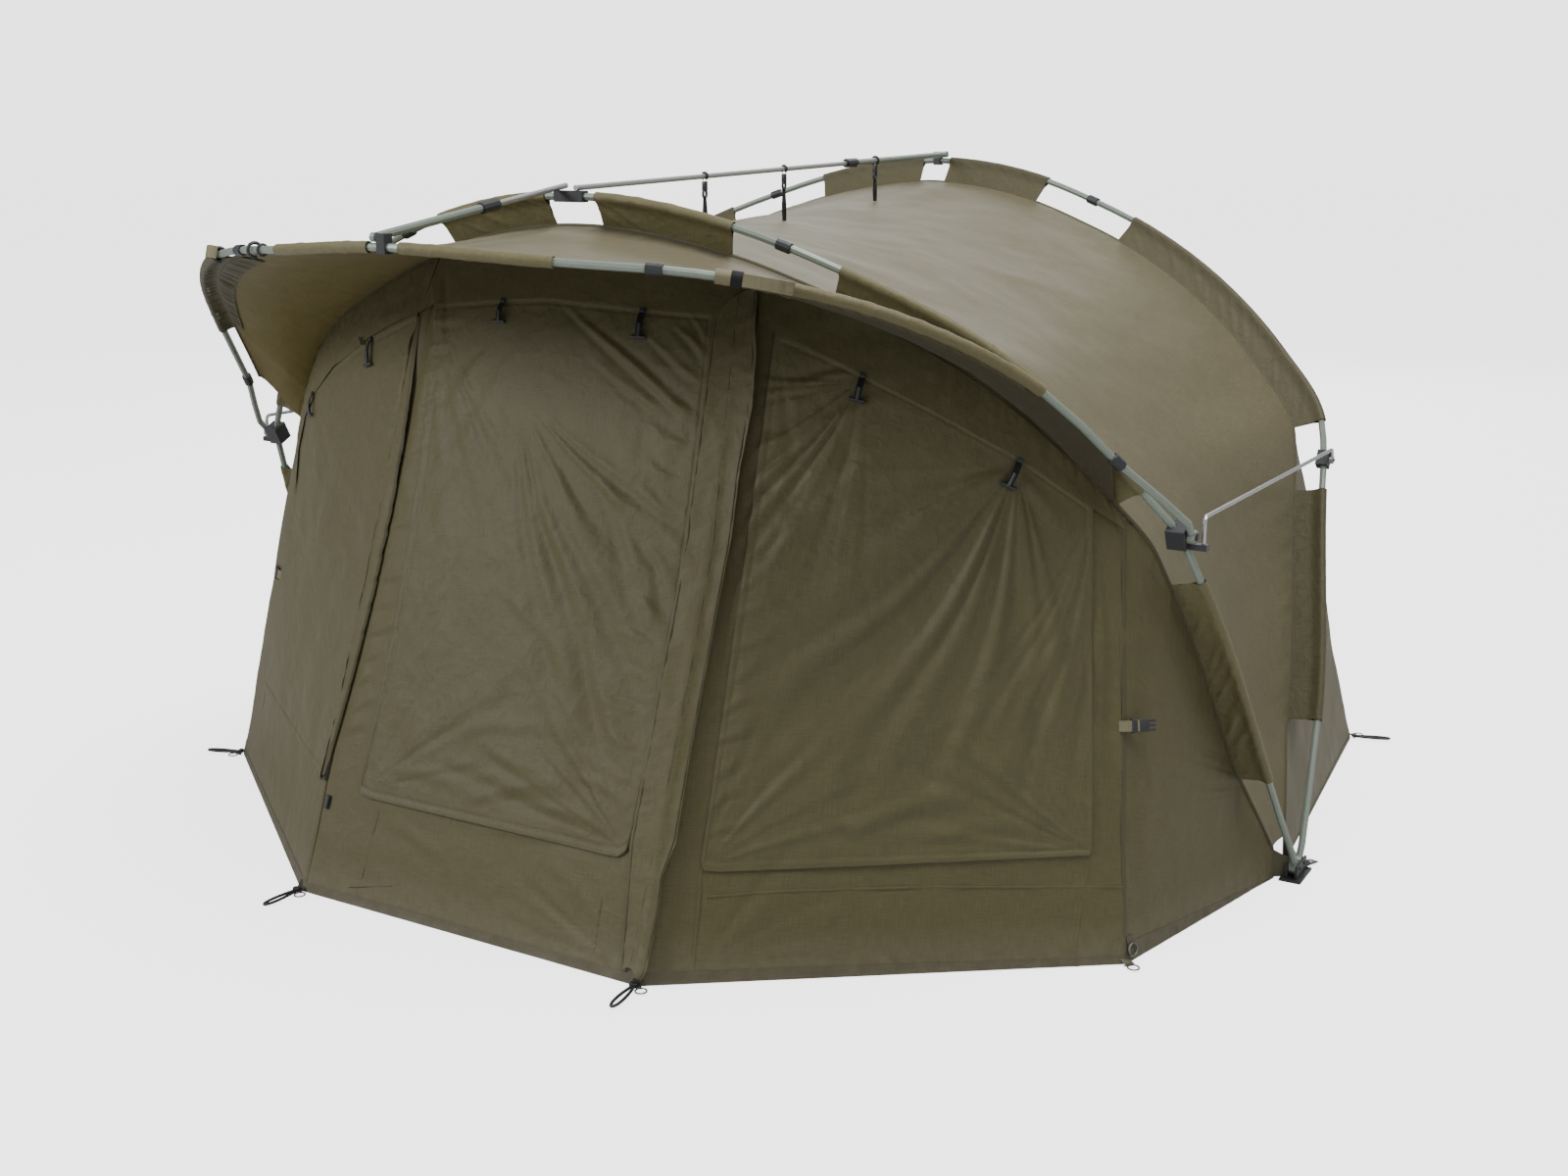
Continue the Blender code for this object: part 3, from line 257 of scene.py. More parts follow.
def stretched(tree, vector, scale):
    return addNode(tree, "Mapping", {"Vector": vector, "Scale": scale}).outputs["Vector"]


def shaderGroup(name, inputs, outputs):
    group = bpy.data.node_groups.new(name, "ShaderNodeTree")
    for label, value in inputs.items():
        kind = "Vector" if value is None else "Color" if isinstance(value, tuple) else "Float"
        socket = group.interface.new_socket(label, in_out="INPUT", socket_type="NodeSocket" + kind)
        if value is not None:
            socket.default_value = value
    for label in outputs:
        kind = "Color" if label == "Color" else "Float"
        group.interface.new_socket(label, in_out="OUTPUT", socket_type="NodeSocket" + kind)
    return group, group.nodes.new("NodeGroupInput").outputs, group.nodes.new("NodeGroupOutput").inputs


def weaveGroup():
    # warp and weft threads of a plain woven cloth, on a map in metres
    group, start, end = shaderGroup("clothWeave", {"Map": None, "Thread": 520.0, "Slub": 0.5}, ("Height", "Shade"))
    warp, weft = (
        noiseNode(group, stretched(group, start["Map"], scale), start["Thread"], 1.5)
        for scale in ((1, 0.045, 1), (0.045, 1, 1))
    )
    threads = times(group, plus(group, warp, weft), 0.5)
    slub = noiseNode(group, stretched(group, start["Map"], (6, 1, 1)), 26, 3)
    feed(group, end["Height"], plus(group, threads, times(group, slub, start["Slub"])))
    feed(group, end["Shade"], threads)
    return group


def toneGroup():
    # a colour that drifts from one tone to another, faded in patches and dusty near the ground
    tones = {"Tone": (0.15, 0.14, 0.1, 1), "Faded": (0.2, 0.18, 0.14, 1)}
    inputs = {"Place": None, **tones, "Shade": 0.5, "Dust": 0.3}
    group, start, end = shaderGroup("clothTone", inputs, ("Color", "Roughness"))
    patches = noiseNode(group, start["Place"], 1.3, 4, 0.6)
    fine = noiseNode(group, start["Place"], 38, 3, 0.6)
    drift = plus(group, times(group, patches, 0.8), times(group, fine, 0.25))
    level = plus(group, times(group, start["Shade"], 1.1), 0.45)
    woven = mixed(group, 1, mixed(group, drift, start["Tone"], start["Faded"]), level, "MULTIPLY")
    height = addNode(group, "SeparateXYZ", {"Vector": start["Place"]}).outputs["Z"]
    low = mathNode(group, "SUBTRACT", 1, times(group, height, 9), clamp=True)
    dusty = times(group, times(group, low, fine), start["Dust"])
    feed(group, end["Color"], mixed(group, dusty, woven, (0.32, 0.29, 0.24, 1)))
    rough = plus(group, times(group, patches, 0.20), 0.46)
    feed(group, end["Roughness"], plus(group, rough, times(group, start["Shade"], 0.1)))
    return group


def wearGroup():
    # scuffs, fine scratches and dust on hard parts
    tones = {"Tone": (0.2, 0.2, 0.2, 1), "Worn": (0.4, 0.4, 0.4, 1)}
    outputs = ("Color", "Roughness", "Height")
    group, start, end = shaderGroup("hardWear", {"Place": None, **tones, "Wear": 0.4, "Rough": 0.4}, outputs)
    scratch = noiseNode(group, stretched(group, start["Place"], (1, 1, 8)), 90, 4, 0.65)
    smudge = noiseNode(group, start["Place"], 12, 3, 0.55)
    grain = noiseNode(group, start["Place"], 900, 1)
    mask = mathNode(group, "MULTIPLY", mathNode(group, "SUBTRACT", scratch, 0.52, clamp=True), 4, clamp=True)
    mask = times(group, mask, start["Wear"])
    feed(group, end["Color"], mixed(group, mask, start["Tone"], start["Worn"]))
    rough = plus(group, start["Rough"], times(group, smudge, 0.18))
    feed(group, end["Roughness"], plus(group, rough, times(group, mask, 0.15)))
    feed(group, end["Height"], plus(group, times(group, grain, 0.6), times(group, scratch, 0.4)))
    return group


def crushGroup():
    # ridges left in packed cloth, with small dents between them
    group, start, end = shaderGroup("clothCrush", {"Place": None}, ("Height",))
    heights = []
    for scale, detail, share in ((6.5, 2.0, 0.62), (17.0, 2.5, 0.38)):
        raw = noiseNode(group, start["Place"], scale, detail, 0.55)
        away = mathNode(group, "ABSOLUTE", mathNode(group, "SUBTRACT", raw, 0.5))
        ridge = mathNode(group, "SUBTRACT", 1, times(group, away, 9), clamp=True)
        heights.append(times(group, mathNode(group, "POWER", ridge, 1.6), share))
    feed(group, end["Height"], plus(group, *heights))
    return group


clothWeave, clothTone, hardWear, clothCrush = weaveGroup(), toneGroup(), wearGroup(), crushGroup()
bumpDistance = {"weave": 0.0012, "crush": 0.004, "hard": 0.0005}


def freshMaterial(name):
    material = bpy.data.materials.new(name)
    material.use_nodes = True
    return material, material.node_tree, material.node_tree.nodes["Principled BSDF"].inputs


def bumped(tree, height, strength, distance, before=None):
    feeds = {"Strength": strength, "Distance": distance, "Height": height, "Normal": before}
    return addNode(tree, "Bump", feeds).outputs["Normal"]


def clothMaterial(name, tone, faded, thread=520.0, slub=0.35, dust=0.25, bump=0.25, crush=0.3, gloss=0.4, paintedShade=None):
    material, tree, shader = freshMaterial(name)
    place = addNode(tree, "TexCoord").outputs["Object"]
    weaveMap = addNode(tree, "UVMap", uv_map="cloth").outputs["UV"]
    weave = addNode(tree, "Group", {"Map": weaveMap, "Thread": thread, "Slub": slub}, node_tree=clothWeave).outputs
    tones = [(*tone, 1), (*faded, 1)]
    if paintedShade:   # painted shade: a darker tone towards the right-hand side
        across = addNode(tree, "SeparateXYZ", {"Vector": place}).outputs["X"]
        side = mathNode(tree, "ADD", times(tree, across, 1.1), 0.62, clamp=True)
        tones = [mixed(tree, side, colour, (*paintedShade, 1)) for colour in tones]
    feeds = {"Place": place, "Tone": tones[0], "Faded": tones[1], "Dust": dust, "Shade": weave["Shade"]}
    drift = addNode(tree, "Group", feeds, node_tree=clothTone).outputs
    dents = addNode(tree, "Group", {"Place": place}, node_tree=clothCrush).outputs["Height"]
    woven = bumped(tree, weave["Height"], bump, bumpDistance["weave"])
    for label, value in (
        ("Base Color", drift["Color"]), ("Roughness", drift["Roughness"]),
        ("Normal", bumped(tree, dents, crush, bumpDistance["crush"], woven)),
        ("Sheen Weight", 0.04), ("Sheen Roughness", 0.45), ("Specular IOR Level", gloss),
    ):
        feed(tree, shader[label], value)
    return material


def hardMaterial(name, tone, worn, rough, wear=0.4, metal=0.0, bump=0.1):
    material, tree, shader = freshMaterial(name)
    place = addNode(tree, "TexCoord").outputs["Object"]
    feeds = {"Place": place, "Tone": (*tone, 1), "Worn": (*worn, 1), "Wear": wear, "Rough": rough}
    scuffs = addNode(tree, "Group", feeds, node_tree=hardWear).outputs
    for label, value in (
        ("Base Color", scuffs["Color"]), ("Roughness", scuffs["Roughness"]), ("Metallic", metal),
        ("Normal", bumped(tree, scuffs["Height"], bump, bumpDistance["hard"])),
    ):
        feed(tree, shader[label], value)
    return material


# partly the canopy's own tone, partly painted light: raised to stand in for the strong light falling on the roof
canopyCloth = clothMaterial("canopyCloth", (0.104, 0.091, 0.049), (0.125, 0.111, 0.064), crush=0.08, gloss=0.25)
# partly the coated inner side's own colour, partly painted light: its bright yellow tone stands in for light shining
# through the cloth
undersideCloth = clothMaterial(
    "undersideCloth", (0.125, 0.098, 0.024), (0.145, 0.116, 0.032), dust=0, crush=0.15, gloss=0.3,
    # painted shade: the darker tone the underside takes towards the right-hand side
    paintedShade=(0.050, 0.044, 0.024),
)
wallCloth = clothMaterial("wallCloth", (0.072, 0.062, 0.023), (0.088, 0.077, 0.031), crush=0.22)
coverCloth = clothMaterial("coverCloth", (0.069, 0.060, 0.022), (0.085, 0.075, 0.030), slub=0.5, crush=0.32, gloss=0.45)
# one sleeve cloth in two copies: painted light on the front sleeves, painted shade on the rear ones
frontSleeveCloth = clothMaterial("frontSleeveCloth", (0.112, 0.098, 0.042), (0.136, 0.119, 0.055), crush=0.4)
rearSleeveCloth = clothMaterial("rearSleeveCloth", (0.060, 0.052, 0.022), (0.076, 0.066, 0.031), crush=0.3)
seamTape = clothMaterial("seamTape", (0.056, 0.048, 0.020), (0.070, 0.061, 0.028), thread=700, crush=0.2)
oliveWebbing = clothMaterial(
    "oliveWebbing", (0.140, 0.124, 0.066), (0.180, 0.161, 0.092), thread=260, slub=0.2, bump=0.6, crush=0,
)
blackWebbing = clothMaterial(
    "blackWebbing", (0.010, 0.010, 0.011), (0.018, 0.017, 0.016), thread=260, slub=0.2, bump=0.6, crush=0, gloss=0.15,
)
tubePaint = hardMaterial("tubePaint", (0.205, 0.245, 0.205), (0.42, 0.44, 0.41), 0.30, 0.35, 0.25)
bareAlloy = hardMaterial("bareAlloy", (0.52, 0.53, 0.53), (0.72, 0.73, 0.73), 0.24, 0.5, 0.9)
dullSteel = hardMaterial("dullSteel", (0.17, 0.17, 0.16), (0.34, 0.34, 0.33), 0.34, 0.5, 0.85)
blackMoulding = hardMaterial("blackMoulding", (0.020, 0.021, 0.024), (0.075, 0.076, 0.080), 0.38, 0.35, 0.0, 0.25)
print("bivvy: materials ready")

for name, thing in nodes.items():
    if any(word in name for word in ("collar", "nexus", "clip", "clamp", "foot_block", "zip_slider")):
        look = blackMoulding
    elif "side_bar" in name or name.endswith("_inner"):
        look = bareAlloy
    elif any(word in name for word in ("leg", "shoulder", "crown_tube", "bar_outer")):
        look = tubePaint
    else:
        continue
    thing.data.materials.clear()
    thing.data.materials.append(look)

pullNoise = np.array([dice.uniform(-1, 1) for _ in range(512)])
pulls = (
    # where it is held, heading and spread in degrees (90 is down), reach in pixels, height in mm, folds in a radian
    (1040, 474, 126, 60, 470, 5.6, 15), (1114, 524, 101, 26, 420, 4.4, 22), (881, 388, 138, 55, 290, 4.2, 15),
    (792, 342, 68, 30, 230, 1.2, 9), (530, 400, 66, 36, 480, 4.4, 14),
    (450, 318, 82, 34, 300, 1.8, 15), (638, 868, 222, 52, 240, 2.6, 12), (372, 806, 318, 46, 220, 2.2, 12),
    (718, 886, 320, 48, 300, 3.8, 12), (1112, 868, 218, 46, 300, 3.8, 12), (320, 402, 96, 40, 330, 2.0, 13),
    (382, 345, 96, 34, 300, 1.8, 13), (1147, 545, 70, 40, 320, 1.6, 12), (630, 985, 215, 40, 160, 2.2, 12),
    (718, 985, 325, 42, 200, 2.4, 11), (1300, 800, 190, 30, 220, 1.8, 14),
)
flapEdge = (300, 416, 623, 860, 1000), (777, 774, 737, 694, 657)   # the right storm flap's free edge, y and x


def clip01(values):
    return np.clip(values, 0, 1)


pullSet = {"swing": (0.05, 70), "seed": (31.7, 256), "middle": 700, "flapWide": 36, "fade": 14, "rise": (0.75, 1.3)}


def pullField(px, py):
    # folds that run out from where the cloth is held, each on its own side of the right storm flap
    (swing, swingLong), (seedStep, seedStart), (skew, sharp) = pullSet["swing"], pullSet["seed"], pullSet["rise"]
    lift = np.zeros(px.shape)
    fromFlap = px - np.interp(py, *flapEdge)
    for number, (x, y, heading, spread, reach, height, count) in enumerate(pulls):
        away = np.hypot(px - x, py - y)
        angle = np.arctan2(py - y, px - x) - math.radians(heading)
        angle = (angle + math.pi) % (2 * math.pi) - math.pi
        window = clip01(1 - (angle / math.radians(spread)) ** 2)
        phase = (angle + swing * np.sin(away / swingLong + number)) * count + seedStep * number + seedStart
        low = np.floor(phase).astype(int)
        t = phase - low
        t = t * t * (3 - 2 * t)
        wave = pullNoise[low % len(pullNoise)] * (1 - t) + pullNoise[(low + 1) % len(pullNoise)] * t
        onRight = x > pullSet["middle"]
        sameSide = clip01((fromFlap if onRight else -fromFlap - pullSet["flapWide"]) / pullSet["fade"])
        along = np.sin(math.pi * clip01(away / reach) ** skew) ** sharp
        lift += height * 0.001 * window * sameSide * wave * along
    return lift


def foldField(px, py, folds):
    # how far the folds stand out, in metres; a fold is (x, y) to (x, y), width in pixels, height in mm
    lift = np.zeros(px.shape)
    for (x1, y1), (x2, y2), width, height in folds:
        length = math.hypot(x2 - x1, y2 - y1)
        wx, wy = (x2 - x1) / length, (y2 - y1) / length
        along = ((px - x1) * wx + (py - y1) * wy) / length
        away = (px - x1) * -wy + (py - y1) * wx
        away = away + width * 0.5 * np.sin(along * 5 + x1)
        taper = np.sin(np.pi * clip01(along)) ** 0.7
        spread = away / (width * (0.6 + 0.8 * clip01(along)))
        lift += height * 0.001 * taper * (np.exp(-spread**2) - 0.7 * np.exp(-(spread - 1.6) ** 2))
    return lift + pullField(px, py)


def crumple(points, size, height, seed=0):
    # soft unevenness of cloth, in metres, with lumps of about the given size
    flat = points.reshape(-1, 3) / size + seed * 7.3
    values = [noise.fractal(Vector(p), 0.9, 2.1, 3) for p in flat]
    return np.array(values).reshape(points.shape[:-1]) * height


def creases(points, size, height, seed=0):
    # sharp little ridges, as in cloth that was packed away folded
    flat = points.reshape(-1, 3) / size + seed * 5.1
    values = [abs(noise.noise(Vector(p))) for p in flat]
    return (0.22 - np.array(values).reshape(points.shape[:-1])) * height


def pucker(away, run, reach, pitch, height, seed=0):
    # gathers that run off a seam: away is the distance from it and run the distance along it
    run = np.broadcast_to(run, away.shape)
    wave = [noise.noise(Vector((r / pitch, seed * 3.7, a * 6))) for r, a in zip(run.ravel(), away.ravel())]
    return np.array(wave).reshape(away.shape) * height * np.exp(-away / reach)


def lineNoise(values, y, z):
    return np.array([noise.noise(Vector((value, y, z))) for value in values])


def unit(vectors):
    return vectors / np.linalg.norm(vectors, axis=-1, keepdims=True)


def normalsOf(points, outside):
    # unit normals of a grid of points, facing away from the point outside
    normal = np.cross(np.gradient(points, axis=0), np.gradient(points, axis=1))
    normal /= np.maximum(np.linalg.norm(normal, axis=-1, keepdims=True), 1e-9)
    sign = np.sign(np.sum(normal * (points - np.asarray(outside)), axis=-1, keepdims=True).mean())
    return normal * (sign or 1)


def sideLengths(points):
    across = np.linalg.norm(np.diff(points, axis=1), axis=-1).sum(1)
    down = np.linalg.norm(np.diff(points, axis=0), axis=-1).sum(0)
    return across, down


def addPiece(name, shape, looks):
    mesh = bpy.data.meshes.new(name)
    shape.to_mesh(mesh)
    shape.free()
    for look in looks:
        mesh.materials.append(look)
    piece = bpy.data.objects.new(name, mesh)
    scene.collection.objects.link(piece)
    return piece


gridOrder = {}   # each sheet's vertices as rows and columns of its grid


def gridPiece(name, points, looks, thick, outside):
    # a sheet whose grid of vertices is moved onto points; its map is in metres
    rows, columns = points.shape[0] - 1, points.shape[1] - 1
    across, down = (side.mean() for side in sideLengths(points))
    shape = bmesh.new()
    bmesh.ops.create_grid(shape, x_segments=columns, y_segments=rows, size=1)
    shape.verts.ensure_lookup_table()
    spots = [((v.co.x + 1) / 2, (v.co.y + 1) / 2) for v in shape.verts]
    gridOrder[name] = np.array([(round(v * rows), round(u * columns)) for u, v in spots]).T
    for vert, place in zip(shape.verts, points[tuple(gridOrder[name])]):
        vert.co = Vector(place)
    cloth = shape.loops.layers.uv.get("cloth") or shape.loops.layers.uv.new("cloth")
    for face in shape.faces:
        for loop in face.loops:
            u, v = spots[loop.vert.index]
            loop[cloth].uv = (u * across, v * down)
    shape.normal_update()
    for edge in shape.edges:   # the cut edge of the cloth stays crisp
        edge.smooth = not edge.is_boundary
    if outside is None:   # a closed tube of cloth
        bmesh.ops.remove_doubles(shape, verts=shape.verts[:], dist=1e-6)
        bmesh.ops.recalc_face_normals(shape, faces=shape.faces[:])
    else:
        some = shape.faces[:][:: max(1, len(shape.faces) // 400)]
        if sum(f.normal.dot(f.calc_center_median() - Vector(outside)) for f in some) < 0:
            bmesh.ops.reverse_faces(shape, faces=shape.faces[:])
    piece = addPiece(name, shape, looks)
    piece.data.shade_smooth()
    if thick:
        cloth = piece.modifiers.new("cloth", "SOLIDIFY")
        cloth.thickness, cloth.offset = thick, 0
        if len(looks) > 1:
            cloth.material_offset = 1
    return piece


def declareSheet(points):
    # works out the longest sides and the area of the smooth surface before its folds, and keeps neither
    wide, long = (float(side.max()) for side in sideLengths(points))
    a, b = np.diff(points, axis=1), np.diff(points, axis=0)
    corners = np.cross(a[:-1], b[:, :-1]), np.cross(a[1:], b[:, 1:])
    area = sum(float(np.linalg.norm(corner, axis=-1).sum()) for corner in corners) / 2
    area = min(wide * long, max(area, 0.3 * wide * long))


def bendWith(piece):
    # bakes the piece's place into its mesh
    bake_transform(piece)


def sewnPiece(name, points, looks, thick, node=None):
    piece = gridPiece(name, points, looks, thick, roomMiddle)
    bendWith(piece)
    if node:
        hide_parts(node)
    return piece


def onGrid(grid, numbers, shares, atNumbers, atShares):
    # places on a folded panel, by place number and share
    rows = np.interp(atShares, shares, np.arange(len(shares)))
    columns = np.interp(atNumbers, numbers, np.arange(len(numbers)))
    i, j = np.minimum(rows.astype(int), len(shares) - 2), np.minimum(columns.astype(int), len(numbers) - 2)
    a, b = (rows - i)[:, None, None], (columns - j)[None, :, None]
    upper = grid[i][:, j] * (1 - b) + grid[i][:, j + 1] * b
    lower = grid[i + 1][:, j] * (1 - b) + grid[i + 1][:, j + 1] * b
    return upper * (1 - a) + lower * a


roomMiddle = (0, 0.1, 0.45)
seamReach = 0.02   # gathers start this far from their seam
wallSet = {
    "pitch": 0.009, "rows": 190, "wingRows": 150, "thick": 0.0016, "seamGap": 0.0048, "hemGap": 0.0012,
    "crumple": (0.16, 0.0028, 3), "folds": 1.6,
    "seamGathers": (0.05, 0.020, 0.0042, 1), "hemGathers": (0.05, 0.024, 0.0042, 2),
    "zipFlat": (0.016, 0.035), "zipValley": 0.0095, "valleyWide": {"door_panel": 0.045}, "valleyElse": 0.012,
    "fade": 14, "searchPitch": 0.03, "searchRows": 50,
}
wallFolds = [
    # door cover: pulled from its top corners towards the bottom
    ((576, 306), (722, 446), 5, 3.2), ((590, 318), (712, 420), 4, -1.6), ((600, 360), (718, 452), 5, 1.6),
    ((655, 340), (722, 392), 4, 2.0), ((690, 330), (726, 372), 4, 2.4), ((704, 322), (727, 350), 3, 1.8),
    ((545, 480), (600, 640), 12, 4.5), ((552, 470), (700, 760), 12, 3.6), ((575, 470), (655, 640), 9, -2.6),
    ((610, 480), (680, 640), 9, 3.0), ((600, 640), (650, 820), 9, 2.6), ((520, 600), (590, 700), 8, 2.0),
    ((640, 520), (690, 610), 7, 2.4), ((660, 560), (684, 640), 6, -2.0), ((560, 700), (610, 760), 6, 1.6),
    ((520, 380), (440, 500), 9, 1.8), ((505, 440), (430, 560), 8, 1.8), ((480, 560), (395, 700), 9, 2.0),
    ((460, 620), (400, 720), 7, 1.8), ((450, 700), (395, 800), 8, 1.6), ((500, 360), (455, 420), 6, 1.8),
    ((452, 770), (640, 862), 9, 2.6), ((470, 812), (600, 800), 8, 1.8), ((500, 760), (560, 800), 7, 1.6),
    ((540, 820), (640, 850), 6, 1.6), ((470, 740), (600, 748), 8, 1.2), ((590, 790), (648, 822), 6, 1.8),
    ((400, 780), (470, 800), 7, 1.4), ((560, 880), (620, 940), 7, 2.0), ((390, 840), (470, 880), 7, 1.2),
    # side window cover, right: long pulls from the outer toggle
    ((1040, 482), (1108, 868), 18, 4.5), ((1030, 500), (900, 800), 20, 3.5), ((1010, 480), (800, 640), 14, 3.2),
    ((900, 400), (790, 470), 9, 3.0), ((940, 430), (780, 560), 10, 2.6), ((1060, 520), (1020, 780), 16, -3.0),
    ((980, 560), (770, 720), 12, 2.6), ((960, 640), (760, 800), 12, 2.2), ((860, 850), (1000, 800), 10, 2.6),
    ((820, 812), (900, 862), 9, 2.0), ((930, 860), (1080, 830), 9, 1.8), ((880, 385), (840, 430), 7, 2.6),
    ((870, 380), (800, 400), 5, 2.4), ((1035, 470), (1090, 560), 8, 2.4), ((1038, 470), (960, 520), 7, 2.6),
    ((1100, 620), (1060, 700), 9, 2.0), ((820, 540), (775, 580), 6, 2.2),
    # the gathered band at the header's left
    ((441, 262), (439, 362), 4, 3.0), ((449, 262), (448, 362), 4, 3.4), ((457, 262), (455, 362), 3, -2.4),
    # wing and left panel
    ((352, 420), (310, 640), 9, 2.6), ((400, 400), (372, 560), 8, 2.0), ((318, 430), (290, 700), 10, -2.2),
    ((360, 560), (310, 760), 9, 1.8), ((330, 700), (300, 880), 9, 1.6),
]
edgeGathers = (
    # count, first y and step, x at a y and its lean, way, length and spread, drop and rise, width, height in mm
    (15, 395, 32, (786, 345, 0.139), 1, 42, (-8, 10), (14, 10), 5, (1.6, 2.8)),   # the right cover's inner edge
    (13, 380, 34, (722, 325, 0.162), -1, 34, (0, 14), (10, 12), 5, (0.9, 1.7)),   # the door cover's right edge
    (17, 330, 26, (436, 320, 0.216), 1, 30, (-6, 10), (6, 8), 4, (1.2, 2.6)),     # the door's left edge at its zip
)
for count, top, step, (startX, startY, lean), way, long, spread, (drop, rise), width, heights in edgeGathers:
    for k in range(count):
        y = top + step * k
        x = startX - (y - startY) * lean
        wallFolds.append(
            ((x, y + drop), (x + way * (long + dice.uniform(*spread)), y - rise), width, dice.uniform(*heights)),
        )


def hangingPoints(seam, hem, shares, seamGap, hemGap):
    # a smooth panel, rows from a rib's seam to the hem
    start = seam + unit(hem - seam) * seamGap
    points = start[None] + (hem - start)[None] * np.asarray(shares)[:, None, None]
    points[-1, :, 2] += hemGap
    return points


def wallPoints(numbers, shares):
    seam, hem = readTable(front, "seam", numbers), hemAt(front, frontHem, numbers)
    return hangingPoints(seam, hem, shares, wallSet["seamGap"], wallSet["hemGap"])


def fromEdge(shares, steep):
    return clip01(np.minimum(shares, 1 - shares)[:, None] * steep)


wallPanels = {
    "wing_right": (1, 5), "front_panel_right": (5, 10), "door_panel": (10, 16),
    "front_panel_left": (16, 21), "wing_left": (21, 25),
}
wallTreeParts, wallMoved = [], {}
for name, (start, end) in wallPanels.items():
    numbers = evenNumbers(front, start, end, wallSet["pitch"])
    shares = np.linspace(0, 1, wallSet["wingRows"] if "wing" in name else wallSet["rows"])
    points = wallPoints(numbers, shares)
    run = readTable(front, "run", numbers)
    depth = np.linalg.norm(points[-1] - points[0], axis=-1)[None] * shares[:, None]
    lift = foldField(*inPhoto(points), wallFolds) * wallSet["folds"] * fromEdge(shares, wallSet["fade"])
    lift += crumple(points, *wallSet["crumple"]) * fromEdge(shares, wallSet["fade"])
    for away, gathers in ((depth, "seamGathers"), (depth[-1][None] - depth, "hemGathers")):
        lift += pucker(away, run, *wallSet[gathers]) * clip01(away / seamReach)
    zipAway = np.minimum(*(np.abs(run - readTable(front, "run", number)) for number in (10, 16)))
    flat, ramp = wallSet["zipFlat"]   # no folds under the zips' sliders
    lift *= clip01((zipAway - flat) / ramp)[None]
    valley = wallSet["valleyWide"].get(name, wallSet["valleyElse"])   # a zip lies in a valley, so its slider passes
    lift -= wallSet["zipValley"] * (1 - shares)[:, None] * clip01((valley - zipAway) / (valley * 0.7))[None]
    moved = points + normalsOf(points, roomMiddle) * lift[..., None]
    wallMoved[name] = (moved, numbers, shares)
    piece = sewnPiece(
        name + "_cloth", moved, [wallCloth, undersideCloth], wallSet["thick"],
        name,
    )
    declareSheet(points)
    coarse = evenNumbers(front, start, end, wallSet["searchPitch"]), np.linspace(0, 1, wallSet["searchRows"])
    wallTreeParts.append(wallPoints(*coarse))
print("bivvy: front wall ready")


def surfaceTree(grids):
    # a search tree over grids of points, and for each face the height of its column's top
    corners, faces, tops = [], [], []
    for points in grids:
        rows, columns = points.shape[:2]
        base = len(corners)
        corners += [Vector(p) for p in points.reshape(-1, 3)]
        for i in range(rows - 1):
            for j in range(columns - 1):
                a = base + i * columns + j
                faces.append((a, a + 1, a + columns + 1, a + columns))
                tops.append(points[0, j, 2])
    return BVHTree.FromPolygons(corners, faces), tops


wallSearch, wallTops = surfaceTree(wallTreeParts)
wallAway = 4.3   # from the camera to the wall, about


def onWall(px, py):
    # the smooth wall's point under a pixel, its outward normal and its height as a share of the seam above it
    way = pixelWay(px, py)
    at, normal, index, _ = wallSearch.ray_cast(cameraPlace, way)
    if at is None:
        at, normal, index, _ = wallSearch.find_nearest(cameraPlace + way * wallAway)
    if normal.dot(way) > 0:
        normal = -normal
    return at, normal, min(1.0, max(0.0, at.z / wallTops[index]))


def resample(line, count):
    line = np.array(line, float)
    run = np.concatenate([[0], np.cumsum(np.linalg.norm(np.diff(line, axis=0), axis=1))])
    spots = np.linspace(0, run[-1], count)
    return np.stack([np.interp(spots, run, line[:, k]) for k in range(2)], -1)


def pixelPatch(lines, columns, rows):
    # a grid of pixel places through two or three outlines, from the top one to the bottom one
    lines = [resample(line, columns + 1)[None] for line in lines]
    t = np.linspace(0, 1, rows + 1)[:, None, None]
    if len(lines) == 2:
        return lines[0] * (1 - t) + lines[1] * t
    return lines[0] * (2 * (t - 0.5) * (t - 1)) + lines[1] * (4 * t * (1 - t)) + lines[2] * (2 * t * (t - 0.5))


def layOnWall(pixels, lift):
    # points that lie on the folded wall at a stand-off, with their normals and shares
    rows, columns = pixels.shape[:2]
    points, normals, weights = np.zeros((rows, columns, 3)), np.zeros((rows, columns, 3)), np.zeros((rows, columns))
    for i in range(rows):
        for j in range(columns):
            points[i, j], normals[i, j], weights[i, j] = onWall(*pixels[i, j])
    fold = foldField(pixels[..., 0], pixels[..., 1], wallFolds) * wallSet["folds"]
    fold = fold * clip01(weights * wallSet["fade"]) * clip01((1 - weights) * wallSet["fade"])
    return points + normals * (fold + lift)[..., None], normals, weights


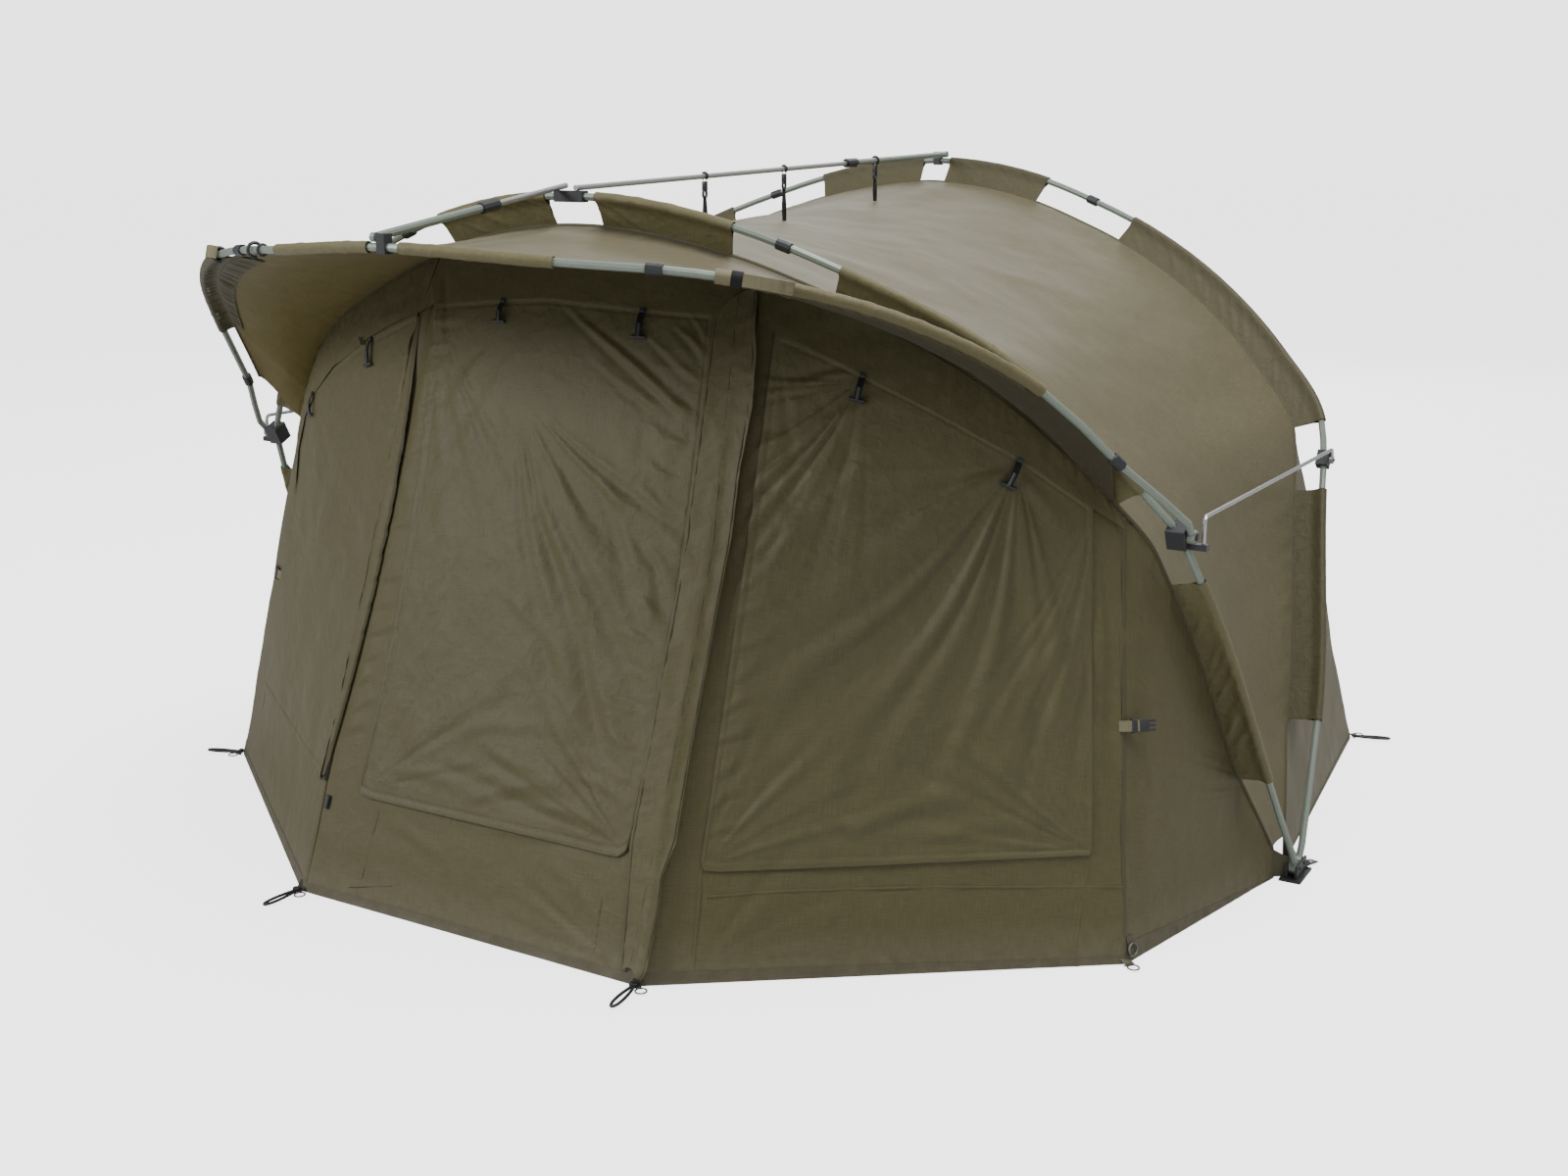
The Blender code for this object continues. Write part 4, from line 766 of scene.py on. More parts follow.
coverSet = {
    "stand": 0.0058, "thick": 0.0012, "rows": 240, "hem": 0.015, "hemLift": 0.0016, "groove": (0.0022, 0.003),
    "crumple": (0.09, 0.0020, 9), "crumpleFade": 0.04, "creases": (0.15, 0.0030, 5), "creaseFade": 0.05,
}
coverEdges = {}
headerLine = {
    "right": [(775, 331), (801, 344), (840, 362), (879, 382), (960, 424), (1041, 469), (1115, 520), (1147, 541)],
    "door": [
        (431, 319), (445, 312), (470, 309), (517, 306), (557, 305), (610, 309), (669, 317), (731, 321), (757, 326),
    ],
    "left": [(303, 505), (308, 461), (315, 424), (325, 401), (344, 375), (381, 345), (405, 331), (431, 319)],
}
covers = {
    "door_window_cover_cloth": {
        "lines": [
            [(447, 309), (517, 303), (560, 302), (660, 314), (730, 320)],
            [(417, 562), (560, 575), (700, 585)],
            [(369, 800), (370, 809), (378, 814), (500, 843), (620, 872), (632, 874), (640, 868), (645, 852)],
        ],
        "node": "door_window_cover", "columns": 160,
    },
    "side_window_cover_right_cloth": {
        "lines": [
            [(792, 338), (845, 361), (880, 379), (960, 420), (1035, 462), (1114, 518)],
            [(756, 607), (900, 625), (1113, 695)],
            [(716, 880), (718, 888), (735, 889), (900, 882), (1090, 873), (1111, 872), (1113, 866)],
        ],
        "node": "side_window_cover_right", "columns": 185,
    },
    "side_window_cover_left_cloth": {
        "lines": [
            [(313, 424), (325, 398), (344, 372), (381, 343), (428, 320)],
            [(288, 560), (330, 575), (394, 548)],
            [(272, 698), (300, 745), (331, 792)],
        ],
        "node": "side_window_cover_left", "columns": 70,
    },
}
for name, item in covers.items():
    pixels = pixelPatch(item["lines"], item["columns"], coverSet["rows"])
    points, normals, weights = layOnWall(pixels, np.full(pixels.shape[:2], coverSet["stand"]))
    across, down = (side.mean() for side in sideLengths(points))
    u = np.linspace(0, 1, points.shape[1])[None] * across
    v = np.linspace(0, 1, points.shape[0])[:, None] * down
    away = np.minimum(np.minimum(u, across - u), np.minimum(v, down - v))   # from the cover's nearest edge
    extra = crumple(points, *coverSet["crumple"]) * clip01(away / coverSet["crumpleFade"])
    extra += creases(points, *coverSet["creases"]) * clip01(away / coverSet["creaseFade"])
    extra += np.where(away < coverSet["hem"], coverSet["hemLift"], 0)
    deep, wide = coverSet["groove"]
    extra -= deep * np.exp(-(((away - coverSet["hem"]) / wide) ** 2))
    moved = points + normals * extra[..., None]
    piece = sewnPiece(
        name, moved, [coverCloth], coverSet["thick"], item["node"],
    )
    declareSheet(points)
    coverEdges[name] = np.concatenate([pixels[2:, 0], pixels[-1, 1:], pixels[-2:1:-1, -1]])
print("bivvy: window covers ready")


def wallStrip(name, lines, lifts, look, columns, rows, wave=None, thick=0.0012, node=None):
    # a strip sewn on the wall between outlines in the photograph; lifts are its stand-offs from line to line
    lift = np.interp(np.linspace(0, 1, rows + 1), np.linspace(0, 1, len(lifts)), lifts)
    points, normals, weights = layOnWall(pixelPatch(lines, columns, rows), lift[:, None] * np.ones((1, columns + 1)))
    if wave is not None:
        points = points + normals * wave(points)[..., None]
    return sewnPiece(name, points, [look], thick, node), points


def seamTop(start, end):
    px, py = inPhoto(wallPoints(evenNumbers(front, start, end, 0.06), [0.010])[0] - np.array([0, 0, 0.0012]))
    return list(zip(px, py))


headerSet = {
    "ends": {"right": (9.9, 5.05), "door": (15.9, 10.05), "left": (20.9, 16.0)}, "lifts": (0.0040, 0.0060, 0.0105),
    "grid": (150, 24), "deep": 0.1, "step": 0.008, "crumple": (0.12, 0.0030, 21), "gathers": (0.05, 0.028, 0.0035, 31),
}


def headerWave(points):
    away = np.linspace(0, headerSet["deep"], points.shape[0])[:, None] + 0 * points[..., 0]
    run = np.cumsum(np.full(points.shape[:2], headerSet["step"]), 1)
    return crumple(points, *headerSet["crumple"]) + pucker(away, run, *headerSet["gathers"])


for hand, ends in headerSet["ends"].items():
    lines = [seamTop(*ends), headerLine[hand]]
    piece, points = wallStrip(
        "header_" + hand, lines, headerSet["lifts"], wallCloth, *headerSet["grid"], headerWave,
    )
    declareSheet(points)

flapLines = {
    "right": {
        "inner": [(730, 322), (699, 562), (645, 862), (636, 990)],
        "stitch": [(760, 299), (757, 324), (733, 560), (690, 794), (668, 897), (647, 988)],
        "free": [
            (775, 303), (773, 335), (774, 364), (770, 416), (757, 479), (748, 549), (733, 623), (720, 693),
            (711, 738), (701, 793), (690, 860), (676, 893), (672, 929), (659, 991), (653, 1000),
        ],
    },
    "left": {
        "inner": [(419, 330), (392, 470), (374, 562), (337, 727), (320, 790)],
        "stitch": [(425, 327), (399, 470), (381, 561), (344, 727), (326, 793)],
        "free": [(429, 323), (410, 400), (399, 450), (388, 527), (381, 562), (365, 640), (346, 727), (330, 796)],
    },
}
flapSet = {
    "lifts": {"right": (0.0105, 0.0115, 0.0210), "left": (0.0030, 0.0034, 0.0040)}, "grid": (320, 22),
    "curl": 0.004, "wave": 0.006, "crumple": (0.05, 0.0022, 23),
    "stitches": (0.04, 0.42, 0.90), "stitchLift": 0.0114, "stitchRise": (0.0095, 0.008),
}


def flapWave(points):
    # the free edge of a storm flap curls up in waves
    edge = (np.linspace(0, 1, len(points))[:, None]) ** 3
    run = np.concatenate([[0], np.cumsum(np.linalg.norm(np.diff(points[-1], axis=0), axis=1))])
    wave = lineNoise(run / 0.09, 3.3, 0.4) + 0.6 * lineNoise(run / 0.035, 8.3, 0.4)
    return edge * (flapSet["curl"] + flapSet["wave"] * wave[None]) + crumple(points, *flapSet["crumple"])


for hand, lines in flapLines.items():
    name = "storm_flap_" + hand
    piece, points = wallStrip(
        name + "_cloth", list(lines.values()), flapSet["lifts"][hand], wallCloth, *flapSet["grid"], flapWave,
        node=name,
    )
    declareSheet(points)

tapeSet = {"half": (1.3, 0), "lifts": (0.0018, 0.0028, 0.0018), "thick": 0.0008}
for hand, number, foot in (("right", 10, 0.995), ("left", 16, 0.83)):
    line = np.stack(inPhoto(wallPoints(np.array([number]), np.linspace(0.24, foot, 60))[:, 0]), 1)
    lines = [line - tapeSet["half"], line + tapeSet["half"]]
    wallStrip(f"zip_teeth_{hand}", lines, tapeSet["lifts"], blackWebbing, 200, 4, thick=tapeSet["thick"])

# seams of the wall, with half their width in pixels
wallSeams = {
    "seam_side_right": ([(1147, 487), (1147, 620), (1146, 800), (1148, 984)], 2.4),
    "seam_low_right": ([(722, 915), (800, 909), (950, 905), (1146, 905)], 1.6),
    "seam_cover_right": ([(1113, 520), (1113, 690), (1112, 872), (1092, 1000)], 1.6),
    "seam_cover_inner": ([(800, 345), (770, 520), (738, 750), (716, 886), (706, 1000)], 1.6),
    "seam_door_left": ([(463, 372), (438, 500), (418, 620), (389, 815), (368, 896)], 1.6),
    "seam_door_right": ([(618, 880), (610, 940), (604, 985)], 1.6),
    "seam_left_corner": ([(270, 700), (300, 745), (332, 796)], 1.8),
    "seam_left_edge": ([(296, 560), (285, 640), (272, 700), (262, 745)], 1.6),
    "seam_door_fold": ([(332, 796), (322, 850), (309, 908)], 2.0),
}


def besideLine(line, half, count=40):
    # two outlines half a width to either side of a line of pixels
    line = resample(line, count)
    way = unit(np.gradient(line, axis=0))
    across = np.stack([-way[:, 1], way[:, 0]], 1)
    return [line - across * half, line + across * half]


stripThick, fullWidth = 0.0006, 2
for name, (line, half) in wallSeams.items():
    look = seamTape if half > fullWidth else wallCloth
    wallStrip(name, besideLine(line, half), (0.0012, 0.0022, 0.0012), look, 90, 4, thick=stripThick)
shadowLineSet = {"half": 1.5, "lifts": (0.0038, 0.0078, 0.0038), "grid": (420, 5), "count": 220}
for name, line in coverEdges.items():   # a dark strip round each cover, on the wall just outside its edge: painted shadow line
    lines = besideLine(line, shadowLineSet["half"], shadowLineSet["count"])
    wallStrip(
        name.replace("_cloth", "_painted_shadow"), lines, shadowLineSet["lifts"], seamTape, *shadowLineSet["grid"],
        thick=stripThick,
    )
for number, shift in enumerate(flapSet["stitches"]):   # stitched rows of the right flap, by share of its width
    keys, part = (("inner", "stitch"), shift * 2) if shift < 0.5 else (("stitch", "free"), shift * 2 - 1)
    a, b = (resample(flapLines["right"][key], 80) for key in keys)
    outward, curl = flapSet["stitchRise"]
    base = flapSet["stitchLift"] + outward * max(0, shift * 2 - 1) + curl * shift**6
    lines = besideLine(a * (1 - part) + b * part, 0.8, 80)
    wallStrip(f"flap_stitch_{number + 1}", lines, [base, base + 0.0012, base], seamTape, 200, 3, thick=stripThick)

hemSet = {"wide": 0.026, "lift": 0.0016, "thick": 0.0010, "pitch": 0.012, "rows": 7, "end": 0.9995}


def surfaceStrip(name, panel, numbers, shares, lift):
    # a hem or tape that follows rows or columns of a folded panel
    points = onGrid(*panel, numbers, shares)
    points = points + normalsOf(points, roomMiddle) * lift
    sewnPiece(name, points, [seamTape], hemSet["thick"])


for name, (start, end) in wallPanels.items():
    moved = wallMoved[name][0]
    share = hemSet["wide"] / np.linalg.norm(moved[-1] - moved[0], axis=-1).mean()
    shares = np.linspace(1 - share, hemSet["end"], hemSet["rows"])
    numbers = evenNumbers(front, start, end, hemSet["pitch"])
    surfaceStrip("hem_" + name, wallMoved[name], numbers, shares, hemSet["lift"])
pipings = (("front", front, 25, 0.0054), ("rear", rear, 25, 0.0048), ("peak", peak, 17, 0.0042))
for rib, table, last, radius in pipings:
    numbers = evenNumbers(table, 1, last, hemSet["pitch"])
    seam, way, inward = (readTable(table, key, numbers) for key in ("seam", "way", "inward"))
    side = np.cross(way, inward)
    turns = np.linspace(0, 2 * math.pi, 9)
    points = np.array([seam + (inward * math.cos(t) + side * math.sin(t)) * radius for t in turns])
    piece = gridPiece(f"piping_{rib}", points, [seamTape], 0, None)
    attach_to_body(piece, rib + "_rib")
print("bivvy: flaps, header and seams ready")


def sweep(shape, path, radius, sides=8, up=(0, 0, 1), closed=False):
    # a round bar along a path: a circle at each point, bridged to the next
    path = [Vector(p) for p in path]
    rings = []
    for k, at in enumerate(path):
        after = path[(k + 1) % len(path)] if closed else path[min(k + 1, len(path) - 1)]
        way = after - path[k - 1 if closed else max(k - 1, 0)]
        way.normalize()
        side = Vector(up).cross(way)
        if side.length < 1e-4:
            side = Vector((1, 0, 0)).cross(way)
        side.normalize()
        wide = radius[k] if isinstance(radius, (list, tuple)) else radius
        place = placeOf(at, side, way.cross(side), way)
        made = bmesh.ops.create_circle(shape, cap_ends=False, radius=wide, segments=sides, matrix=place)
        ring = set(made["verts"])
        rings.append([e for e in {e for v in ring for e in v.link_edges} if all(v in ring for v in e.verts)])
    pairs = list(zip(rings, rings[1:])) + ([(rings[-1], rings[0])] if closed else [])
    for one, two in pairs:
        bmesh.ops.bridge_loops(shape, edges=one + two)
    if not closed:
        for ring in (rings[0], rings[-1]):
            bmesh.ops.contextual_create(shape, geom=ring)


def block(shape, size, place, bevel=0.001):
    # a box with rounded edges; place is its 4 x 4 matrix
    made = bmesh.ops.create_cube(shape, size=1, matrix=place @ Matrix.Diagonal((*size, 1)))
    edges = list({e for v in made["verts"] for e in v.link_edges})
    bmesh.ops.bevel(
        shape, geom=edges, offset=bevel, offset_type="OFFSET", affect="EDGES", segments=2, profile=0.5, material=-1,
    )


def placeOf(at, x, y, z):
    return Matrix.Translation(at) @ Matrix((x, y, z)).transposed().to_4x4()


def placesFrom(at, axes, steps):
    # points from a place along some axes
    return [sum((axis * n for axis, n in zip(axes, step)), at) for step in steps]


def arc(centre, x, y, radius, count=20, start=0.0, end=2 * math.pi):
    # points on a whole circle, or on a part of one with both its ends
    turns = np.linspace(start, end, count, endpoint=end - start < 6)
    return [centre + (x * math.cos(t) + y * math.sin(t)) * radius for t in turns]


def attach(piece, to):
    # to a body, or else only baked in place
    if isinstance(to, str):
        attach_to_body(piece, to)
    else:
        bendWith(piece)


def finishPart(name, shape, look, to):
    bmesh.ops.recalc_face_normals(shape, faces=shape.faces[:])
    piece = addPiece(name, shape, [look])
    piece.data.shade_smooth()
    piece.data.set_sharp_from_angle(angle=math.radians(45))
    attach(piece, to)


def ribbon(name, path, sides, width, look, to, thick=0.0014):
    # webbing along a path: sides are its crosswise directions
    sides = sides if isinstance(sides, list) else [sides] * len(path)
    path = np.array([tuple(p) for p in path], float)
    sides = np.array([tuple(Vector(s).normalized()) for s in sides], float)
    rows = [path + sides * width * t for t in np.linspace(-0.5, 0.5, 4)]
    attach(gridPiece(name, np.array(rows), [look], thick, tuple(path.mean(0) - np.array([0, 0, 9]))), to)


upward = Vector((0, 0, 1))
toggleSet = {
    "strap": 0.0150, "rise": ((0, 0.011), (0.3, 0.018), (0.7, 0.020), (1, 0.014)), "half": 0.019, "stand": 0.0140,
    "bar": {-1: 0.0034, -0.8: 0.0048, 0: 0.0040, 0.8: 0.0048, 1: 0.0034}, "pin": 0.0048,
    "eye": (0.014, 0.010, 0.006),
}
toggles = (
    ((517, 308), (513, 329)), ((658, 318), (654, 345)), ((881, 384), (875, 409)), ((1040, 470), (1028, 496)),
    ((382, 347), (380, 373)), ((323, 402), (321, 424)),
)
for number, (top, foot) in enumerate(toggles):
    a, out, weight = onWall(*top)
    b = onWall(*foot)[0]
    way = (b - a).normalized()
    side = way.cross(out).normalized()
    path = [a.lerp(b, t) + out * rise for t, rise in toggleSet["rise"]]
    ribbon(f"toggle_strap_{number + 1}", path, side, toggleSet["strap"], blackWebbing, weight)
    shape = bmesh.new()
    bar = [b + out * toggleSet["stand"] + side * (toggleSet["half"] * t) for t in toggleSet["bar"]]
    sweep(shape, bar, list(toggleSet["bar"].values()), up=out)
    pin = [a.lerp(b, 0.5) + out * (toggleSet["stand"] + 0.006), b + out * (toggleSet["stand"] + 0.001)]
    sweep(shape, pin, toggleSet["pin"], up=side)
    block(shape, toggleSet["eye"], placeOf(a + out * 0.0125, side, way, out))
    finishPart(f"toggle_{number + 1}", shape, blackMoulding, weight)

# buckles: each block's size, its places along out, way and side, and its bevel
buckleBlocks = (
    ((0.030, 0.040, 0.010), ((0.014, 0.044, 0),), 0.002),
    ((0.006, 0.022, 0.006), ((0.014, 0.070, -0.0105), (0.014, 0.070, 0), (0.014, 0.070, 0.0105)), 0.0015),
    ((0.034, 0.006, 0.013), ((0.014, 0.026, 0),), 0.0015),
)
for name, spot, hand in (("buckle_right", (1141, 741), 1), ("buckle_left", (290, 588), -1)):
    a, out, weight = onWall(*spot)
    way = upward.cross(out).normalized() * hand
    side = out.cross(way).normalized()
    out = (out + way * 0.25).normalized()
    shape = bmesh.new()
    for size, places, bevel in buckleBlocks:
        for place in placesFrom(a, (out, way, side), places):
            block(shape, size, placeOf(place, side, way, out), bevel)
    finishPart(name, shape, blackMoulding, weight)
    path = placesFrom(a, (out, way), ((0.003, 0), (0.010, 0.010), (0.016, 0.022), (0.019, 0.040)))
    ribbon(name + "_webbing", path, side, 0.025, oliveWebbing, weight)

pegSet = {
    "tab": 0.022, "tabWide": 0.024, "ring": 0.0130, "wire": 0.0020, "hook": (0.105, 0.017), "hookWire": 0.0036,
    "head": (0.020, 0.012, 0.008), "height": 0.010,
}
pegPlaces = (
    ("peg_door_right", (0.5104, -1.36), (0.40, -1.0), True),
    ("peg_door_left", (-0.5104, -1.36), (0.20, -1.0), True),
    ("peg_wing_right", (1.4048, -0.7056), (0.80, -0.55), False),
    ("peg_wing_left", (-1.4048, -0.7056), (-0.80, -0.55), True),
    ("peg_back_right", (1.4576, 1.1616), (0.85, 0.5), True),
    ("peg_back_left", (-1.4576, 1.1616), (-0.85, 0.5), True),
    ("peg_back_inner_right", (0.56, 1.503), (0.2, 1.0), False),
    ("peg_back_inner_left", (-0.56, 1.503), (-0.2, 1.0), False),
)
for name, spot, way, hooked in pegPlaces:
    way = Vector((*way, 0)).normalized()
    side = Vector((-way.y, way.x, 0))
    at = Vector((*spot, pegSet["height"]))
    tab = pegSet["tab"]
    path = placesFrom(at, (way, upward), ((-0.020, 0.014), (0.003, 0), (tab, -0.003), (tab * 0.35, -0.007)))
    ribbon(name + "_tab", path, side, pegSet["tabWide"], blackWebbing if hooked else seamTape, "base")
    shape = bmesh.new()
    ringAt = at + way * (tab + pegSet["ring"] * 0.6) + side * (0.014 if hooked else 0) - upward * 0.004
    sweep(shape, arc(ringAt, way, side, pegSet["ring"]), pegSet["wire"], closed=True)
    finishPart(name + "_ring", shape, dullSteel, "base")
    if hooked:
        long, wide = pegSet["hook"]
        start = at + way * (tab * 0.5) - side * 0.006 - upward * 0.002
        lean = (way - side * 0.25).normalized()
        flank = Vector((-lean.y, lean.x, 0))
        loop = [
            start + lean * (long * (1 - math.cos(t)) / 2)
            + flank * (wide / 2 * math.sin(t) * (1 - 0.35 * math.cos(t)))
            for t in np.linspace(0, 2 * math.pi, 25)[:-1]
        ]
        shape = bmesh.new()
        sweep(shape, loop, pegSet["hookWire"], closed=True)
        block(shape, pegSet["head"], placeOf(start + upward * 0.003, flank, lean, upward))
        finishPart(name + "_hook", shape, blackMoulding, "base")

# the ring and tab above the right wing's corner, and the tab behind a left toggle
a, out, weight = onWall(1152, 963)
side = upward.cross(out).normalized()
down = out.cross(side).normalized()
down = down if down.z < 0 else -down
path = placesFrom(a, (down, out), ((-0.020, 0.003), (0, 0.006), (0.022, 0.006)))
ribbon("corner_tab", path, side, 0.022, seamTape, weight)
shape = bmesh.new()
sweep(shape, arc(a + down * 0.012 + out * 0.010, down, side, 0.015), 0.0026, up=out, closed=True)
finishPart("corner_ring", shape, dullSteel, weight)
(a, aOut, _), (b, bOut, _) = onWall(373, 345), onWall(376, 353)
ribbon("left_toggle_tab", [a + aOut * 0.012, b + bOut * 0.013], side, 0.022, oliveWebbing, onWall(375, 349)[2])

footSet = {"tab": (0.026, 0.0022), "eyelet": (0.0075, 0.0020), "corner": 0.0016, "top": 0.052, "foot": 0.006}
for hand, sign in (("right", 1), ("left", -1)):   # webbing tabs with eyelets
    at = Vector((sign * halfWidth, 0.030, 0.010))
    way = Vector((sign * 0.28, 0.96, 0)).normalized()
    side = Vector((-way.y, way.x, 0))
    width, thick = footSet["tab"]
    path = placesFrom(at, (way, upward), ((0, 0), (0.03, 0.002), (0.075, -0.002)))
    ribbon(f"foot_tab_{hand}", path, side, width, blackWebbing, "base", thick)
    shape = bmesh.new()
    radius, wire = footSet["eyelet"]
    sweep(shape, arc(at + way * 0.058 + upward * 0.0012, way, side, radius, 16), wire, closed=True)
    finishPart(f"foot_eyelet_{hand}", shape, bareAlloy, "base")
for hand, sign in (("right", 1), ("left", -1)):   # cloth corners beside the foot blocks
    for rib, table, hemY in (("front", front, -0.045), ("rear", rear, 0.045)):
        top = Vector(readTable(table, "seam", 1 if sign > 0 else 25))
        foot = Vector((sign * hemFoot, hemY, 0.003))
        toward = Vector((sign * 1.592, math.copysign(0.024, hemY), 0.0))
        rows = []
        for t in np.linspace(0, 1, 10):
            far = toward + upward * (footSet["top"] + (footSet["foot"] - footSet["top"]) * t)
            rows.append([tuple(top.lerp(foot, t).lerp(far, s)) for s in np.linspace(0, 1, 6)])
        name = f"foot_corner_{rib}_{hand}"
        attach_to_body(gridPiece(name, np.array(rows), [seamTape], footSet["corner"], roomMiddle), "base")
print("bivvy: small parts ready")


def spannedPoints(upper, lower, shares, sag, centre, spread):
    # a hollow surface between two seams; the end points stand clear of them by the spreads
    way = lower - upper
    length = np.linalg.norm(way, axis=-1, keepdims=True)
    start, end = upper + way / length * spread[0], lower - way / length * spread[1]
    shares = np.asarray(shares)[:, None, None]
    points = start[None] * (1 - shares) + end[None] * shares
    toCentre = unit(np.asarray(centre) - points)
    return points + toCentre * (sag * 4 * shares * (1 - shares)) * np.minimum(1, length)[None]


def foldedPanel(points, shares, run, looks, gathers):
    # a canopy with its unevenness and the gathers that run off its seams
    lift = (crumple(points, *looks["crumple"]) + creases(points, *looks["creases"])) * fromEdge(shares, looks["edge"])
    for away, values in gathers:
        lift += pucker(away, run, *values) * clip01(away / seamReach)
    return points + normalsOf(points, roomMiddle) * lift[..., None]


twoSided = [canopyCloth, undersideCloth]
roofSet = {
    "pitch": 0.015, "rows": 110, "sag": 0.055, "thick": 0.0018, "spread": (0.0024, 0.0024), "edge": 10,
    "crumple": (0.30, 0.007, 1), "creases": (0.42, 0.010, 2), "gathers": (0.07, 0.030, 0.0045, 4),
}
roofNumbers = evenNumbers(front, 1, 25, roofSet["pitch"])
frontSeam, rearSeam = readTable(front, "seam", roofNumbers), readTable(rear, "seam", roofNumbers)
shares = np.linspace(0, 1, roofSet["rows"] + 1)
points = spannedPoints(frontSeam, rearSeam, shares, roofSet["sag"], roomMiddle, roofSet["spread"])
seamAway = np.minimum(shares, 1 - shares)[:, None] * np.linalg.norm(rearSeam - frontSeam, axis=-1)[None]
moved = foldedPanel(points, shares, readTable(front, "run", roofNumbers), roofSet, [(seamAway, roofSet["gathers"])])
half = roofSet["rows"] // 2
# two halves from one grid, because a blend works across one joint only
for hand, part in (("Front", slice(0, half + 1)), ("Rear", slice(half, None))):
    piece = sewnPiece(
        f"roof_{hand.lower()}_half", moved[part], twoSided, roofSet["thick"],
        "roof_canopy",
    )
    declareSheet(points[part])

rearSet = {
    "pitch": 0.017, "rows": 110, "thick": 0.0018, "seamGap": 0.0039, "hemGap": 0.0013, "edge": 12,
    "crumple": (0.26, 0.006, 6), "creases": (0.38, 0.010, 7),
    "seamGathers": (0.07, 0.030, 0.0035, 8), "hemGathers": (0.06, 0.028, 0.0028, 9),
    "hem": 0.016, "hemPitch": 0.014, "hemLift": 0.0022, "tape": 0.009, "tapeLift": 0.0020,
}
rearNumbers = evenNumbers(rear, 1, 25, rearSet["pitch"])
seam, hem = readTable(rear, "seam", rearNumbers), hemAt(rear, rearHem, rearNumbers)
shares = np.linspace(0, 1, rearSet["rows"] + 1)
points = hangingPoints(seam, hem, shares, rearSet["seamGap"], rearSet["hemGap"])
depth = np.linalg.norm(hem - seam, axis=-1)[None] * shares[:, None]
gathers = [(depth, rearSet["seamGathers"]), (depth[-1][None] - depth, rearSet["hemGathers"])]
moved = foldedPanel(points, shares, readTable(rear, "run", rearNumbers), rearSet, gathers)
piece = sewnPiece(
    "rear_canopy_cloth", moved, twoSided, rearSet["thick"],
    "rear_canopy",
)
declareSheet(points)
rearPanel = (moved, rearNumbers, shares)
heights = np.linspace(1 - rearSet["hem"], hemSet["end"], hemSet["rows"])
surfaceStrip("hem_rear", rearPanel, evenNumbers(rear, 1, 25, rearSet["hemPitch"]), heights, rearSet["hemLift"])
for number in (5, 9, 17, 21):
    run = float(readTable(rear, "run", number)) + np.linspace(-rearSet["tape"], rearSet["tape"], 5)
    numbers = np.interp(run, rear["run"], rear["number"])
    surfaceStrip(f"seam_rear_{number}", rearPanel, numbers, np.linspace(0.004, 0.996, 120), rearSet["tapeLift"])

peakSet = {
    "pitch": 0.011, "rows": 90, "sag": 0.030, "thick": 0.0018, "spread": (0, 0.0024), "ahead": 0.0045, "edge": 10,
    "crumple": (0.24, 0.005, 11), "creases": (0.34, 0.008, 12), "gathers": (0.06, 0.026, 0.0030, 13),
}
finSet = {"pitch": 0.005, "rows": 16, "wave": 0.011, "depth": 0.0050, "gap": 0.0045, "thick": 0.0010}
peakNumbers = evenNumbers(front, 5, 21, peakSet["pitch"])
ahead = np.array([0, -math.cos(frontRib["lean"]), math.sin(frontRib["lean"])]) * peakSet["ahead"]
upper, lower = readTable(front, "seam", peakNumbers) + ahead, readTable(peak, "seam", peakNumbers - 4)
shares = np.linspace(0, 1, peakSet["rows"] + 1)
points = spannedPoints(upper, lower, shares, peakSet["sag"], roomMiddle, peakSet["spread"])
seamAway = np.minimum(shares, 1 - shares)[:, None] * np.linalg.norm(lower - upper, axis=-1)[None]
moved = foldedPanel(points, shares, readTable(front, "run", peakNumbers), peakSet, [(seamAway, peakSet["gathers"])])
peakPiece = sewnPiece(
    "peak_canopy_cloth", moved, twoSided, peakSet["thick"], "peak_canopy",
)
for hand, ends in (("left", (17.6, 19.9)), ("right", (6.1, 8.4))):   # gathered fins on its inner side, in the darker seam tape cloth as painted shade
    numbers, heights = evenNumbers(front, *ends, finSet["pitch"]), np.linspace(0.88, 0.999, finSet["rows"])
    fin = onGrid(moved, peakNumbers, shares, numbers, heights)
    fall = np.sin(np.pi * np.linspace(0, 1, finSet["rows"])[:, None]) ** 0.5
    wave = lineNoise(np.arange(len(numbers)) * finSet["pitch"] / finSet["wave"], 3.1, 0.2)[None] * finSet["depth"]
    fin = fin - normalsOf(fin, roomMiddle) * (finSet["gap"] + wave * fall)[..., None]
    piece = sewnPiece(f"fin_{hand}", fin, [seamTape], finSet["thick"])
    declareSheet(fin)
declareSheet(points)
print("bivvy: canopies ready")

sleeveSet = {
    "tube": 0.0126, "neck": 0.026, "pitch": 0.0055, "round": 36, "bend": 0.36, "layer": 0.0013, "seamGap": 0.0015,
    "thick": 0.0010, "crease": {"front": 0.0078, "rear": 0.0032, "peak": 0.0060}, "gather": 0.0060, "end": 0.03,
    "ridge": (0.028, 14), "gatherRidge": (0.013, 9), "slant": 1.5, "dip": 0.15, "seamFade": 0.02, "inside": 0.0006,
}


